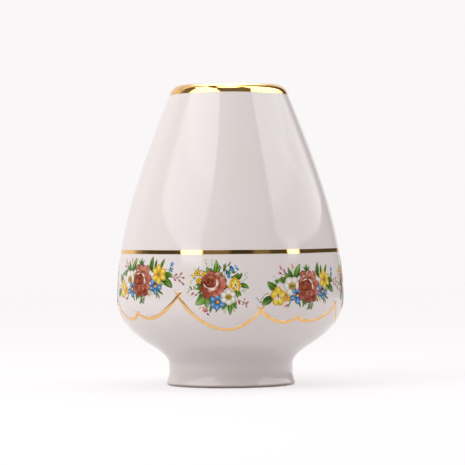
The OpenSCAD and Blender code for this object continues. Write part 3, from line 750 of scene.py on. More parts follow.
def roundSpray():              # one rose with small flowers round it, millimetres from the spray's middle
    rows = fringe(-0.6, -1.2, 8.6, 8.4, 30, 2.8)
    # thin greens and ferns, furthest back
    rows += shapes(
        (sprig, "leafPale", -3.0, 6.5, -3.4, 13.2, 1.3, 3, 0, "stemPale"),
        (sprig, "leafPale", -5.2, 7.5, -7.0, 13.2, 1.3, 3, 0, "stemPale"),
        ("leafPale", -1.2, 8, -1.6, 13.1, 0.8, 0),
        (line, "stem", [(1.4, 2.6), (3.1, 7.2), (3.8, 10.6)], 0.45, 0),
        (line, "stemDark", [(3.0, 5.6), (4.6, 9.2), (6.3, 11.8)], 0.42, 0),
        ("leaf", 3.1, 7.6, 3.7, 10.8, 0.9, 1, 0.1), ("leaf", 4.7, 9.2, 6.5, 12.0, 0.8, 1, -0.1),
        ("leaf", 3.2, 8.4, 2.6, 10.2, 0.7, 1), ("leaf", 1.2, 4.2, 2.0, 6.4, 1.0, 1),
        ("leafDark", 1.9, 2.6, 2.2, 5.6, 0.9, 1), ("leafDark", 2.9, 2.6, 3.6, 4.4, 1.0, 1),
        ("leafDark", 3.4, 0.4, 4.3, 2.2, 1.1, 1),
        (line, "stem", [(2.2, 3.6), (4.6, 5.6), (6.9, 6.2)], 0.35, 0),
        (line, "stemDark", [(6.9, 6.2), (8.4, 6.1), (9.6, 6.3)], 0.32, 0),
        ("leafDark", 7.2, 5.7, 9.2, 6.3, 1.1, 3), ("leafDark", 5.2, 5.2, 6.7, 5.6, 0.9, 3))
    # blue bells
    rows += shapes(
        ("blueDark", 3.9, 7.1, 5.6, 2.6, 1.95, 2, 0.06), ("bluePale", 4.4, 5.6, 5.1, 3.9, 0.7, 3),
        ("blueDark", 5.9, 9.5, 8.1, 5.4, 2.1, 2, 0.05), ("bluePale", 6.7, 8.2, 7.3, 6.4, 0.7, 3),
        ("bluePale", 8.6, 10.0, 10.6, 7.0, 1.5, 2, -0.06), ("blueDark", 9.8, 8.2, 10.6, 7.0, 0.9, 3))
    # leaves above the rose
    rows += shapes(
        ("leafBright", -2.4, 4.6, -1.1, 12.4, 2.35, 2, -0.05),
        ("leafBright", -3.4, 4.8, -6.3, 8.8, 2.1, 1, 0.05), ("leaf", -3.0, 4.8, -4.6, 8.3, 1.4, 2, -0.05),
        ("leafBright", -1.0, 4.6, 1.0, 9.0, 1.85, 2, 0.05))
    # small yellow flowers on the left
    rows += shapes(
        (line, "stemPale", [(-7.0, 4.2), (-11.8, 4.4), (-14.6, 4.2)], 0.3, 0, 0.05),
        (line, "stemPale", [(-8.0, 1.4), (-12.4, 2.4), (-15.3, 1.0)], 0.3, 0, 0.08),
        ("leafPale", -11.6, 6.2, -12.6, 8.4, 0.8, 1), ("leaf", -10.8, 6.4, -10.3, 9.2, 0.7, 1),
        ("leaf", -9.8, 6.4, -8.7, 7.6, 0.6, 1), ("leafPale", -11.4, 7.2, -14.0, 7.9, 0.7, 1),
        ("leafPale", -15.2, 4.6, -16.6, 4.2, 0.7, 1), ("leaf", -12.2, 3.8, -13.4, 2.4, 0.9, 1),
        ("leafDark", -10.4, 0.4, -12.2, -0.8, 0.9, 1), ("leaf", -8.6, 3.2, -9.2, 2.2, 0.7, 1),
        (smallYellow, -11.2, 5.7, 1.75, 2), (smallYellow, -7.3, 4.75, 1.8, 2, 50),
        (smallYellow, -10.3, 1.8, 1.6, 2, 0), ("amber", -14.4, 5.3, -13.5, 3.3, 1.1, 2),
        ("yellow", -14.0, 4.9, -13.0, 4.0, 1.0, 3), ("amber", -15.1, 1.7, -14.2, 0.2, 1.1, 2),
        ("yellowPale", -14.9, 1.2, -14.0, 0.6, 0.8, 3))
    # foliage and pink buds at the left
    rows += shapes(
        ("leafDark", -8.0, -1.2, -11.6, -0.5, 1.7, 1, 0.1),
        ("leafDark", -8.2, -2.4, -12.0, -2.9, 1.8, 1, -0.1), ("leafDark", -8.4, -3.4, -11.0, -4.9, 1.5, 1),
        (line, "stem", [(-9.0, -2.0), (-13.0, -2.6), (-16.8, -4.2)], 0.3, 0, 0.05))
    for x, y, tipX, tipY, name in (
            (-12, -2.4, -13.4, -0.8, "leaf"), (-14, -2.8, -15.6, -0.9, "leafDark"),
            (-14.6, -3.2, -16.2, -3.2, "leafPale"), (-15.6, -3.8, -17.6, -5.3, "leafPale"),
            (-13.4, -2.8, -12.4, -0.9, "leafPale"), (-15.2, -3.6, -16.6, -1.9, "leafPale")):
        rows += shapes(
            (name, x, y, tipX, tipY, 0.9, 1))
    rows += shapes(
        ("wine", -12.8, -4.4, -14.6, -5.6, 0.9, 2), ("wine", -11.0, -5.0, -12.6, -6.3, 0.8, 2),
        ("budPink", -13.4, -5.2, -14.9, -6.0, 0.7, 2))
    # broad leaves at the lower left
    rows += shapes(
        ("leafBroad", -6.4, -4.6, -12.2, -10.4, 4.6, 3, 0.10),
        ("leafBroad", -5.4, -5.2, -5.7, -12.2, 3.6, 3, -0.08),
        ("leafDark", -7.4, -5.4, -10.2, -6.4, 1.6, 2))
    # rose: outer petals, cup, hollow, folds
    rows += shapes(
        ("roseBrown", -4.6, 2.0, -3.4, 6.9, 5.6, 5), ("rosePink", -2.4, 2.0, 1.4, 5.6, 4.6, 5, 0, 1),
        ("rosePink", -1.4, 0.6, 4.2, 2.4, 4.6, 5, 0, 2), ("roseCoral", -1.4, -0.6, 4.4, -1.5, 4.4, 5, 0, 3),
        ("roseCoral", -2.0, -2.0, 2.1, -5.2, 4.6, 5, 0, 4),
        ("roseCoral", -3.0, -2.6, -1.6, -6.9, 4.0, 5, 0, 5),
        ("roseRust", -4.4, -2.6, -7.2, -7.4, 4.8, 5, 0, 6),
        ("roseWine", -4.6, -1.2, -9.3, -3.6, 4.4, 5, 0, 7),
        (arcs, "roseLine", -4.2, 0.4, 5.1, -70, 60, 0.45, 6, 3), ("rosePink", -0.4, 3.0, 1.0, 4.9, 1.5, 6),
        ("roseWine", -6.2, -5.4, -7.3, -6.9, 1.5, 6), ("rosePink", -4.6, -5.0, -3.9, -6.2, 1.5, 6),
        ("rosePink", 0.2, -3.4, 1.6, -4.6, 1.2, 6), ("rosePink", -1.8, -5.2, -1.2, -6.6, 1.1, 6),
        ("rosePink", 2.0, 1.2, 3.8, 2.4, 1.5, 6), ("rosePink", 2.4, -1.6, 4.0, -2.0, 1.4, 6),
        (spot, "roseCup", -4.4, 0.6, 4.85, 4.95, 7), (arcs, "roseArc", -4.4, 0.6, 4.15, 40, 175, 1.7, 8, 2),
        (arcs, "roseWine", -4.4, 0.5, 4.3, 175, 235, 1.5, 8),
        (arcs, "roseWarm", -4.2, 0.9, 3.1, 50, 140, 1.3, 9),
        (arcs, "roseArc", -4.6, 0.7, 3.3, 120, 190, 1.1, 9),
        (spot, "roseDark", -5.2, 1.1, 2.9, 2.05, 10, 12),
        (arcs, "roseGlow", -5.0, 1.4, 1.8, 20, 100, 0.5, 11),
        (arcs, "roseGlow", -5.0, 1.0, 1.2, 190, 320, 0.42, 11),
        (arcs, "roseArc", -4.6, 1.0, 0.75, -20, 150, 0.5, 11),
        (spot, "roseGlow", -6.4, 1.4, 0.5, 0.35, 11, 40), (spot, "roseGlow", -4.0, 0.6, 0.55, 0.32, 11, 60),
        (arcs, "roseArc", -4.3, 1.0, 3.9, 195, 300, 2.0, 10, 2),
        (arcs, "roseLine", -4.3, 1.3, 3.15, 195, 290, 0.5, 11, 2),
        (arcs, "rosePale", -4.4, 1.0, 3.3, 196, 290, 0.85, 11, 2, 0.95),
        (arcs, "rosePale", -4.3, 0.7, 3.75, 262, 382, 1.5, 12, 2),
        (arcs, "roseWarm", -4.3, 0.6, 4.5, 250, 330, 1.1, 11, 2),
        (arcs, "roseLine", -3.9, 0.8, 2.75, 285, 375, 0.34, 12, 1),
        (arcs, "roseWine", -4.4, 0.4, 4.6, 190, 248, 1.2, 11))
    # leaves and yellow flower at the right
    rows += shapes(
        ("leafDark", 8.6, 1.8, 12.4, 5.8, 2.3, 1, -0.08), ("leaf", 8.2, 2.4, 10.6, 5.4, 1.9, 2, 0.05),
        ("leafBright", 9.6, 3.0, 12.2, 4.9, 1.3, 3),
        (line, "stemPale", [(10.8, 1.6), (13.2, 1.7), (14.7, 2.6), (14.6, 3.9), (13.6, 5.0), (14.6, 5.6),
                            (15.8, 5.2)], 0.34, 1, -0.16),
        ("leafDark", 10.4, -0.6, 15.9, -2.5, 2.7, 1, 0.12),
        ("leaf", 10.8, -0.9, 14.8, -1.6, 1.2, 2, 0.1), ("leafPale", 11.8, -3.2, 14.6, -4.2, 1.3, 1),
        ("leafPale", 12.6, -2.8, 15.0, -3.2, 0.9, 1), ("leafDark", 9.4, -3.0, 8.1, -6.2, 1.8, 1),
        ("leafBright", 9.8, -3.0, 9.9, -7.2, 1.6, 2), ("leafDark", 9.8, -3.0, 11.9, -6.2, 1.9, 1, -0.05),
        ("leaf", 10.2, -3.6, 11.1, -6.4, 1.0, 3),
        (petals, "amber", 8.8, -0.3, 0.4, 3.9, 7, 2.9, 4, 20, 0.74, 18),
        (petals, "yellow", 8.8, -0.2, 0.4, 3.5, 7, 2.5, 5, 45, 0.72, 18),
        (petals, "yellowPale", 8.9, -0.3, 0.3, 2.3, 6, 1.4, 6, 10, 0.7, 18),
        (spot, "cream", 9.3, -1.3, 1.7, 0.8, 8, 118), (spot, "wine", 8.9, -0.7, 1.15, 0.42, 9, 118),
        (spot, "roseCoral", 9.5, -1.7, 0.6, 0.3, 9, 110), ("leafDark", 4.4, -0.9, 5.2, -2.3, 1.0, 4),
        ("amber", 4.9, -0.7, 6.2, -2.2, 1.8, 5), ("yellow", 4.9, -0.6, 5.9, -1.5, 1.1, 6),
        ("leafDark", 1.0, -4.2, 2.6, -5.0, 1.0, 3))
    # blue flower and white flower at the bottom
    rows += shapes(
        (starFlower, -0.6, -9.3, 4.1, 5), (petals, "bluePale", -0.6, -9.3, 1.7, 3.5, 6, 0.9, 6, 84),
        (daisy, 5.2, -6.8, 4.1, 8, 30))
    # leaves and buds along the bottom
    rows += shapes(
        ("leafBright", 5.3, -9.4, 5.9, -16.0, 2.3, 2, 0.05),
        ("leafDark", 6.2, -9.8, 9.6, -13.0, 1.7, 1, 0.06),
        ("leafDark", 4.6, -9.6, 1.9, -13.8, 1.8, 2, -0.06), ("leafBright", 6.4, -9.4, 8.0, -13.4, 1.2, 3),
        ("leafPale", 4.6, -11.4, 2.4, -15.8, 1.3, 0), ("leafPale", 3.4, -12.6, 3.2, -16.0, 1.0, 0),
        ("leafDark", -1.2, -12.0, -1.5, -14.8, 1.1, 2, 0.1),
        ("leaf", -3.0, -11.6, -4.4, -14.8, 1.3, 2, -0.12), ("leaf", -4.6, -11.4, -3.6, -13.4, 0.9, 2),
        ("leafDark", 7.7, -7.6, 9.4, -11.2, 1.6, 2), ("leaf", 8.2, -7.4, 8.9, -10.0, 0.9, 3),
        (line, "stem", [(-5.8, -10.4), (-6.8, -12.2), (-7.3, -13.4)], 0.35, 1),
        (line, "stem", [(-6.8, -12.2), (-5.8, -15.2)], 0.3, 1),
        (petals, "budPink", -7.3, -13.4, 0.2, 1.6, 5, 1.25, 3, 60),
        (spot, "wine", -6.6, -13.9, 0.8, 0.5, 5, 30), ("wine", -6.4, -15.2, -5.0, -16.2, 1.0, 3),
        ("leaf", -6.4, -12.6, -5.3, -13.6, 0.7, 2), ("budOrange", -9.2, -11.8, -10.6, -13.0, 1.0, 2),
        (line, "stemPale", [(-6.4, -11.2), (-9.4, -11.9)], 0.28, 1))
    # sprigs of buds at the right
    rows += shapes(
        ("wine", 10.4, -8.4, 11.0, -10.8, 1.05, 2), ("budPink", 10.9, -8.2, 11.3, -9.4, 0.5, 3),
        (line, "stem", [(9.2, -8.0), (12.6, -9.4), (14.2, -10.2)], 0.3, 1, 0.06),
        (line, "stem", [(13.4, -9.8), (14.4, -11.6)], 0.28, 1))
    for x, y, tipX, tipY in ((13.2, -8.6, 13.8, -7.4), (14.0, -9.7, 15.9, -9.4), (13.9, -10.6, 14.9, -12.4),
                             (12.9, -9.6, 12.4, -11.2), (13.8, -10.0, 15.3, -10.6)):
        rows += shapes(
            ("wine", x, y, tipX, tipY, 0.75, 2), ("budPink", x, y, (x + tipX) / 2, (y + tipY) / 2, 0.5, 3))
    rows += shapes(
        ("leaf", 12.6, -9.2, 13.8, -9.7, 0.6, 2), ("leafPale", 7.8, -13.0, 9.0, -14.4, 1.0, 1),
        ("budPink", 7.6, -13.6, 8.5, -14.3, 0.6, 2))
    return rows


def longSpray():               # a rose between white, yellow and blue flowers, with leaves to both sides
    rows = fringe(-1.0, -0.4, 17.2, 5.6, 40, 3.0)
    # tendrils, sprigs and ferns, furthest back
    rows += shapes(
        (line, "stem", [(-19.8, -5.2), (-22.6, -3.8), (-25.6, -4.8), (-27.2, -6.6), (-26.4, -8.2),
                        (-28.2, -7.6), (-29.8, -5.6)], 0.42, 0, 0.14),
        (line, "stemPale", [(-15.6, 1.2), (-17.6, 3.6), (-19.4, 2.8), (-18.6, 1.4), (-20.4, 0.8)],
         0.36, 0, 0.16),
        (line, "stemPale", [(-17.0, 3.4), (-18.6, 4.8), (-20.4, 5.0)], 0.3, 0, 0.1),
        (line, "stemDark", [(-10.6, 3.8), (-13.0, 6.6), (-15.2, 9.2)], 0.36, 0, 0.04),
        (line, "stemDark", [(-12.6, 6.2), (-13.6, 7.8)], 0.3, 0),
        (line, "stemDark", [(-12.8, 6.2), (-16.0, 6.9)], 0.3, 0),
        (line, "stemPale", [(-7.6, 4.4), (-8.3, 10.0)], 0.3, 0),
        ("budPink", -15.2, 8.6, -15.9, 11.2, 1.3, 2), ("wine", -15.1, 8.6, -15.4, 9.8, 0.7, 3),
        ("budPink", -13.2, 7.2, -13.6, 9.4, 1.3, 2), ("wine", -13.2, 7.0, -13.3, 8.4, 0.7, 3),
        ("wine", -15.0, 6.6, -17.2, 7.2, 1.3, 2), ("budPink", -15.8, 6.8, -17.3, 7.4, 0.8, 3),
        ("budPink", -8.0, 8.8, -8.7, 12.0, 1.1, 1), ("budOrange", -8.0, 8.8, -7.3, 10.6, 0.7, 1),
        (line, "stem", [(17.4, 5.0), (21.0, 5.4), (23.2, 8.0)], 0.3, 0),
        (line, "stemPale", [(20.6, 5.2), (23.0, 5.2)], 0.3, 0),
        (petals, "bluePale", 23.2, 8.3, 0.2, 1.4, 5, 1.0, 2, 10),
        (petals, "blueDark", 22.8, 5.4, 0.2, 1.6, 4, 1.0, 2, 30),
        ("blueDark", 22.6, 7.0, 23.6, 9.2, 0.8, 3),
        (line, "stemDark", [(22.0, 1.4), (25.8, 1.2), (29.4, 3.4)], 0.32, 0, 0.05),
        (line, "stemDark", [(25.6, 1.2), (30.2, -1.6)], 0.3, 0, 0.05),
        (line, "stemDark", [(24.2, 1.3), (25.8, 3.0)], 0.28, 0),
        (line, "stemDark", [(26.4, 1.0), (30.4, 1.2)], 0.28, 0))
    for x, y, tipX, tipY in ((24.4, 0.9, 26.2, -0.4), (25.2, 2.0, 26.6, 3.6), (28.0, 2.4, 29.6, 4.2),
                             (29.2, 1.2, 31.2, 1.3), (29.0, -1.0, 31.0, -2.6), (27.2, 0.6, 28.8, -1.0)):
        rows += shapes(
            ("wine", x, y, tipX, tipY, 1.05, 2), ("budPink", x, y, (x + tipX) / 2, (y + tipY) / 2, 0.6, 3))
    # leaves
    rows += shapes(
        ("leafDark", 9.6, 4.6, 10.3, 12.3, 3.1, 1, 0.06), ("leaf", 10.2, 5.2, 10.4, 10.6, 1.3, 2, 0.04),
        ("leafDark", 12.0, 5.6, 13.0, 10.9, 1.7, 1), ("leaf", 15.8, 5.6, 18.4, 10.9, 1.8, 1, 0.04))
    for tipX, tipY in ((-1.2, 10.2), (1.6, 11.6), (3.6, 10.4), (0.2, 10.9)):
        rows += shapes(
            ("leafDark", 1.3, 7.0, tipX, tipY, 1.1, 1))
    rows += shapes(
        ("leafDark", 17.4, 1.6, 24.0, 2.2, 3.6, 1, 0.12), ("leaf", 17.2, 0.2, 23.6, -4.0, 4.0, 2, 0.10),
        ("leafBright", 18.6, -0.4, 23.2, -3.6, 1.6, 3), ("leafDark", -11.6, 0.8, -17.2, 3.6, 3.1, 1, -0.1),
        ("leaf", -11.4, 2.0, -15.4, 5.2, 2.0, 2, 0.08), ("leafDark", -16.6, -2.0, -23.2, 2.8, 4.2, 1, 0.10),
        ("leaf", -17.2, -1.6, -21.8, 1.4, 1.5, 2, 0.08),
        ("leafDark", -20.4, -5.8, -26.2, -9.8, 4.3, 1, -0.08), ("leaf", -21.0, -6.2, -25.0, -8.8, 1.6, 2),
        ("leaf", -9.6, 3.0, -12.6, 7.2, 2.0, 1, 0.05), ("leafDark", -8.0, 3.8, -10.9, 9.9, 2.3, 2, 0.08),
        ("leafBright", -6.8, 3.4, -3.0, 11.2, 3.0, 2, 0.08),
        ("leafDark", -5.6, 4.2, -3.2, 10.8, 1.1, 3, -0.05),
        ("leafDark", 14.4, -5.6, 18.2, -8.0, 1.2, 1, 0.1), ("leaf", 15.2, -6.4, 18.0, -6.6, 0.9, 1),
        ("leaf", 14.2, -6.4, 16.2, -10.0, 1.0, 1), ("leafDark", 13.4, -6.6, 14.3, -9.8, 0.9, 1),
        ("leaf", -2.0, -7.4, -2.2, -11.0, 1.4, 1, 0.1), ("leafDark", -4.6, -7.6, -3.4, -11.4, 1.2, 1, -0.1),
        ("leaf", -1.2, -7.4, 0.0, -9.9, 1.5, 1),
        (line, "stemDark", [(2.2, -7.4), (4.4, -9.4), (3.0, -12.6)], 0.3, 0))
    for k in range(4):
        rows += shapes(
            ("leaf", 3.6 - 0.2 * k, -8.6 - 0.9 * k, 1.2 - 0.3 * k, -9.0 - 1.1 * k, 0.95, 1, 0.1),
            ("leafDark", 3.9 - 0.2 * k, -8.8 - 0.9 * k, 5.6 - 0.3 * k, -10.2 - 0.8 * k, 0.7, 1, -0.1))
    rows += shapes(
        ("leafDark", 5.6, -6.6, 8.0, -8.0, 1.2, 1), ("budOrange", 10.4, -6.6, 10.9, -8.9, 0.9, 2),
        ("wine", 8.2, -7.0, 8.8, -8.8, 0.8, 2), ("amber", 9.6, -6.4, 9.9, -7.9, 0.7, 3),
        (line, "stem", [(-9.6, -6.8), (-11.0, -9.4), (-12.6, -10.0)], 0.3, 0),
        ("leaf", -10.2, -8.2, -12.0, -11.6, 0.7, 1), ("wine", -11.6, -9.6, -13.2, -10.6, 1.1, 2),
        ("budPink", -12.2, -9.9, -14.2, -10.8, 1.2, 3), ("leafDark", -12.6, -5.2, -10.6, -6.6, 1.3, 3))
    # yellow flower at the left, with a smaller one half behind it
    rows += shapes(
        (petals, "amber", -12.6, -5.6, 0.3, 2.6, 5, 1.9, 3, 40),
        (petals, "yellow", -12.4, -5.8, 0.3, 2.2, 5, 1.5, 4, 20),
        (spot, "wine", -12.9, -4.6, 0.8, 0.5, 5, 60),
        (petals, "amber", -17.4, -5.2, 0.6, 5.3, 5, 5.0, 6, 90, 0.82),
        (petals, "yellow", -17.4, -5.2, 0.5, 4.9, 5, 4.1, 7, 90, 0.82),
        (petals, "yellowPale", -17.4, -5.1, 0.8, 3.9, 5, 1.6, 8, 78, 0.82),
        (spot, "cream", -17.0, -5.6, 0.75, 2.2, 9), (spot, "cream", -18.0, -6.0, 1.9, 0.5, 9, 10),
        (spot, "wine", -17.2, -5.0, 0.5, 1.5, 10), (spot, "amber", -17.0, -5.0, 0.3, 0.9, 11),
        ("amber", -17.3, -1.8, -17.6, -3.4, 0.35, 10), ("amber", -17.2, -7.2, -17.4, -9.6, 0.35, 10))
    # white flower
    rows += shapes(
        (daisy, -9.0, 0.0, 5.2, 6, 0))
    # rose: outer petals, cup, folds and heart
    rows += shapes(
        ("roseBrown", 0.4, 1.8, -2.2, 7.8, 4.8, 9), ("rosePink", 2.0, 2.0, 3.0, 8.0, 4.8, 9, 0, 1),
        ("rosePink", 3.0, 1.2, 7.6, 7.4, 4.8, 9, 0, 2), ("roseCoral", 3.4, 0.0, 10.0, 1.2, 4.6, 9, 0, 3),
        ("roseCoral", 3.4, -1.4, 9.2, -4.6, 3.9, 9, 0, 4), ("roseWine", 2.4, -2.6, 6.4, -8.2, 4.6, 9, 0, 5),
        ("roseWine", 1.2, -3.0, 0.9, -9.0, 5.4, 9, 0, 6),
        ("roseBrown", -1.0, -2.6, -3.8, -7.4, 4.0, 9, 0, 7), ("rosePink", 5.6, 4.8, 7.2, 6.6, 1.7, 10),
        ("rosePink", 7.6, -0.2, 9.4, 1.0, 1.6, 10), ("rosePink", 7.4, -3.2, 8.6, -4.0, 1.2, 10),
        ("rosePink", 1.6, 6.4, 3.4, 7.4, 1.4, 10), ("roseArc", 2.0, -7.0, 5.0, -7.4, 1.2, 10, -0.1),
        (spot, "roseCup", 0.9, -0.4, 6.1, 6.5, 11), (arcs, "roseWarm", 0.9, -0.4, 5.4, 75, 165, 1.7, 12, 2),
        (arcs, "roseArc", 0.9, -0.4, 5.4, 165, 290, 1.6, 12, 2),
        (arcs, "roseWarm", 0.9, -0.4, 5.3, 290, 420, 1.7, 12, 3),
        (arcs, "roseLine", 0.9, -0.5, 4.55, 0, 360, 0.34, 13, 5),
        (arcs, "rosePale", 0.7, -0.4, 3.95, 80, 140, 1.0, 13),
        (arcs, "roseArc", 0.6, -0.5, 3.9, 140, 250, 1.4, 13, 2),
        (arcs, "roseWarm", 0.7, -0.5, 4.0, 250, 345, 1.3, 13, 2),
        (arcs, "rosePale", 0.7, -0.5, 4.2, 340, 425, 1.2, 14, 2),
        (arcs, "roseLine", 0.4, -0.6, 3.2, 30, 330, 0.4, 14, 4),
        (arcs, "roseArc", 0.3, -0.6, 2.75, 60, 230, 1.1, 14, 2),
        (arcs, "roseWarm", 0.3, -0.7, 2.7, 230, 330, 0.9, 14, 1),
        (spot, "roseDark", 0.1, -0.8, 2.0, 2.25, 15),
        (arcs, "roseGlow", 0.0, -0.8, 1.45, 100, 250, 0.6, 16),
        (arcs, "roseArc", 0.1, -0.8, 1.4, -60, 60, 0.6, 16), (spot, "roseGlow", 0.0, -0.8, 0.75, 0.95, 16),
        (spot, "roseCup", 0.1, -0.9, 0.45, 0.6, 17), (arcs, "rosePale", 0.9, -0.2, 5.6, 98, 128, 0.6, 14),
        (arcs, "roseDark", 0.6, 0.6, 4.4, 84, 106, 0.5, 14))
    # yellow flower at the right
    rows += shapes(
        (petals, "amber", 15.0, 3.0, 0.5, 5.4, 6, 3.9, 5, 90, 0.92),
        (petals, "yellow", 15.0, 3.0, 0.5, 5.1, 6, 3.3, 6, 90, 0.92),
        (petals, "yellowPale", 15.0, 3.0, 1.8, 4.4, 6, 1.2, 7, 90, 0.92),
        (petals, "amber", 15.0, 3.0, 0.3, 2.6, 6, 0.5, 8, 90, 0.92),
        (spot, "greenEye", 15.0, 3.0, 0.75, 1.1, 9), (spot, "olive", 15.1, 3.1, 0.35, 0.5, 10))
    # blue flowers
    rows += shapes(
        (petals, "blue", 12.8, -3.2, 0.3, 4.4, 5, 3.1, 4, -18),
        (petals, "bluePale", 12.8, -3.2, 1.9, 3.9, 5, 1.0, 5, -14),
        (spot, "roseDark", 12.8, -2.6, 1.1, 1.5, 10), (spot, "amber", 12.8, -3.3, 1.0, 0.85, 11),
        (spot, "budOrange", 12.9, -3.5, 0.5, 0.4, 12),
        (petals, "blue", -6.0, -5.0, 0.3, 4.4, 5, 3.1, 7, -90, 1.05),
        (petals, "bluePale", -6.0, -5.0, 1.9, 3.9, 5, 1.0, 8, -86, 1.05),
        (spot, "roseDark", -5.9, -4.3, 1.2, 1.3, 13), (spot, "amber", -6.0, -5.0, 1.05, 0.85, 14),
        (spot, "budOrange", -5.9, -5.2, 0.5, 0.4, 15))
    return rows


seedStep, brightest = 1.7, 0.88      # each lobe's streaks start elsewhere; no colour is lighter than this


def paintedLobes(rows):
    # each point's colour: along the lobe, then towards its rim, then darker on one side
    looks = [styles[row[0]] for row in rows]
    widths = [(s["widest"], s["full"]) for s in looks]
    points, uv = lobePoints(np.array([row[1:9] + width for row, width in zip(rows, widths)], float))
    inner, middle, outer, rim = np.array([s["colours"] for s in looks]).transpose(1, 0, 2)[:, :, None]
    u, v = uv[..., :1], uv[..., 1:]
    low, high = np.clip(v * 2, 0, 1), np.clip(v * 2 - 1, 0, 1)
    low, high = low * low * (3 - 2 * low), high * high * (3 - 2 * high)
    colour = inner + (middle - inner) * low + (outer - middle) * high
    share = np.array([s["rimShare"] for s in looks])[:, None, None] * np.clip(abs(u) * 2.2 - 1.1, 0, 1) ** 2
    side = np.array([s["side"] for s in looks])[:, None, None]
    colour = (colour + (rim - colour) * share) * (1 + side * np.clip(u * 2, -1, 1))
    marks = np.array([s["marks"] for s in looks])[:, None, :] + 0 * points
    seed = np.arange(len(rows))[:, None, None] * seedStep + 0 * u
    return points, np.concatenate([uv, seed], -1), colour.clip(paintTone["darkest"], brightest), marks


# the sprays on the wall

paintLook = {
    "streaks": 2.6, "streakAcross": 3.2, "streakAlong": 0.9, "ribWidth": (0.03, 0.20),
    "veins": 34, "veinSlant": 16, "veinPlace": (0.1, 0.35), "dots": 2400.0, "mottle": 0.22,
    "rough": (0.10, 0.18), "roughGrain": 500, "roughShare": (0.3, 0.8),
    "bump": 0.006, "bumpGrain": 900, "streakBump": 0.6, "ior": 1.4,
}


def paintFinish(name):
    # fired enamel: its painted colour, with streaks along each petal, ribs and veins
    g, r = paintLook, Recipe(name)

    def split(attribute):      # the three numbers of a vector attribute
        source = r.node("Attribute", {"attribute_name": attribute}, out=1)
        return [r.node("SeparateXYZ", out=k, Vector=source) for k in range(3)]

    across, along, seed = split("petal")
    rib, streak, veins = split("marks")
    paint = r.node("Attribute", {"attribute_name": "paint"}, out=0)
    flow = r.node("CombineXYZ", X=across * g["streakAcross"], Y=along * g["streakAlong"], Z=seed)
    lines = r.grain(1.0, 3, flow)
    away = abs(across)
    herring = (along * g["veins"] - away * g["veinSlant"]).maths("SINE")
    gain = (1 + streak * (lines - 0.5) * g["streaks"] + rib * r.within(away, *g["ribWidth"], 1, 0)
            + veins * herring * r.within(away, *g["veinPlace"]))
    gain = gain * (1 - g["mottle"] / 2 + r.grain(g["dots"], 2) * g["mottle"])
    colour = r.node("VectorMath", {"operation": "SCALE"}, i0=paint, i3=gain)
    rough = r.within(r.grain(g["roughGrain"], 3), *g["roughShare"], *g["rough"])
    return r.finish(Base_Color=colour, Roughness=rough, IOR=g["ior"],
                    Normal=r.bump(r.grain(g["bumpGrain"], 3) + lines * g["streakBump"], g["bump"] * mm))


sprayPlaces = {                # degrees aside and height above the widest line, spray by spray
    "round": ((-0.5, 9.2), (0.6, 9.8), (-0.3, 9.5), (0.8, 9.3)),
    "long": ((0.9, 7.6), (0.5, 9.1), (-0.8, 9.5), (-2.1, 11.2)),
}


def keep(piece, key, kind, field, values):       # one value for each point, for the material to read
    data = piece.data.attributes.new(key, kind, "POINT").data
    data.foreach_set(field, np.ascontiguousarray(values, np.float32).ravel())


def sprayPiece(node, name, rows, shift, rise, material, slot):
    # across the spray is arc length at its middle's radius; up is height
    low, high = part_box(node)
    toward = math.atan2(low[0] + high[0], -low[1] - high[1])
    angle = round(toward / (turn / 8)) * (turn / 8) + math.radians(shift)      # an eighth of a turn each
    middle = w["bellyHeight"] + rise
    points, petalAt, colour, marks = paintedLobes(rows)
    x, y, out = np.moveaxis(points, -1, 0)
    places = onWall(angle + x / wallAt(middle)[0], middle + y, out)
    faces = pillowFaces(len(rows), lobeShape["rows"], len(lobeShape["across"]))
    piece = newPiece(name, places, faces, material, lobeShape["sharp"])
    keep(piece, "petal", "FLOAT_VECTOR", "vector", petalAt)
    keep(piece, "marks", "FLOAT_VECTOR", "vector", marks)
    opaque = np.ones(colour.shape[:2] + (1,))
    keep(piece, "paint", "FLOAT_COLOR", "color", np.concatenate([colour, opaque], -1))
    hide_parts(node)


paints = {"round": paintFinish("roundEnamel"), "long": paintFinish("longEnamel")}
for kind, makeRows in (("round", roundSpray), ("long", longSpray)):
    for i in range(1, 5):
        node = kind + "_spray_" + str(i)
        sprayPiece(node, kind + "Flowers" + str(i), outlined(makeRows()), *sprayPlaces[kind][i - 1],
                   paints[kind], "transfer_" + kind)
print("sprays ready")

# the studio: floor, light and camera

view = {"turn": 5.3, "distance": 1.51, "height": 0.0962, "aim": 0.08184, "aside": 0.0014, "roll": -0.45,
        "lens": 217.0}
toRight = math.radians(view["turn"])      # the camera stands this far round, and the room turns with it
backdrop = colourOf(250, 247, 248)


def aimed(thing, spot, target, roll=0.0):       # puts a light or the camera at a spot, facing the target
    away = (Vector(target) - Vector(spot)).normalized()
    spin = away.to_track_quat("-Z", "Y").to_matrix().to_4x4()
    thing.matrix_world = Matrix.Translation(spot) @ spin @ Matrix.Rotation(math.radians(roll), 4, "Z")
    bpy.context.scene.collection.objects.link(thing)


def makeCamera():              # out in front of the vase and a little to the right, aimed at its axis
    s = view
    ahead = np.array([-math.sin(toRight), math.cos(toRight)])
    right = np.array([math.cos(toRight), math.sin(toRight)])
    camera = bpy.data.cameras.new("camera")
    camera.lens, camera.sensor_width, camera.clip_start, camera.clip_end = s["lens"], 36, 0.05, 50
    eye = bpy.data.objects.new("camera", camera)
    spot = (*(right * s["aside"] - ahead * s["distance"]), s["height"])
    aimed(eye, spot, (*(right * s["aside"]), s["aim"]), s["roll"])
    bpy.context.scene.camera = eye


lamps = {                      # degrees right and up, metres away, width, height, and how bright
    "leftSoftbox": (-52, 36, 0.95, 0.62, 0.72, 2.4),
    "rightPanel": (90, 26, 0.9, 0.5, 0.6, 0.9),
}
lampTarget = (0, 0, 0.085)


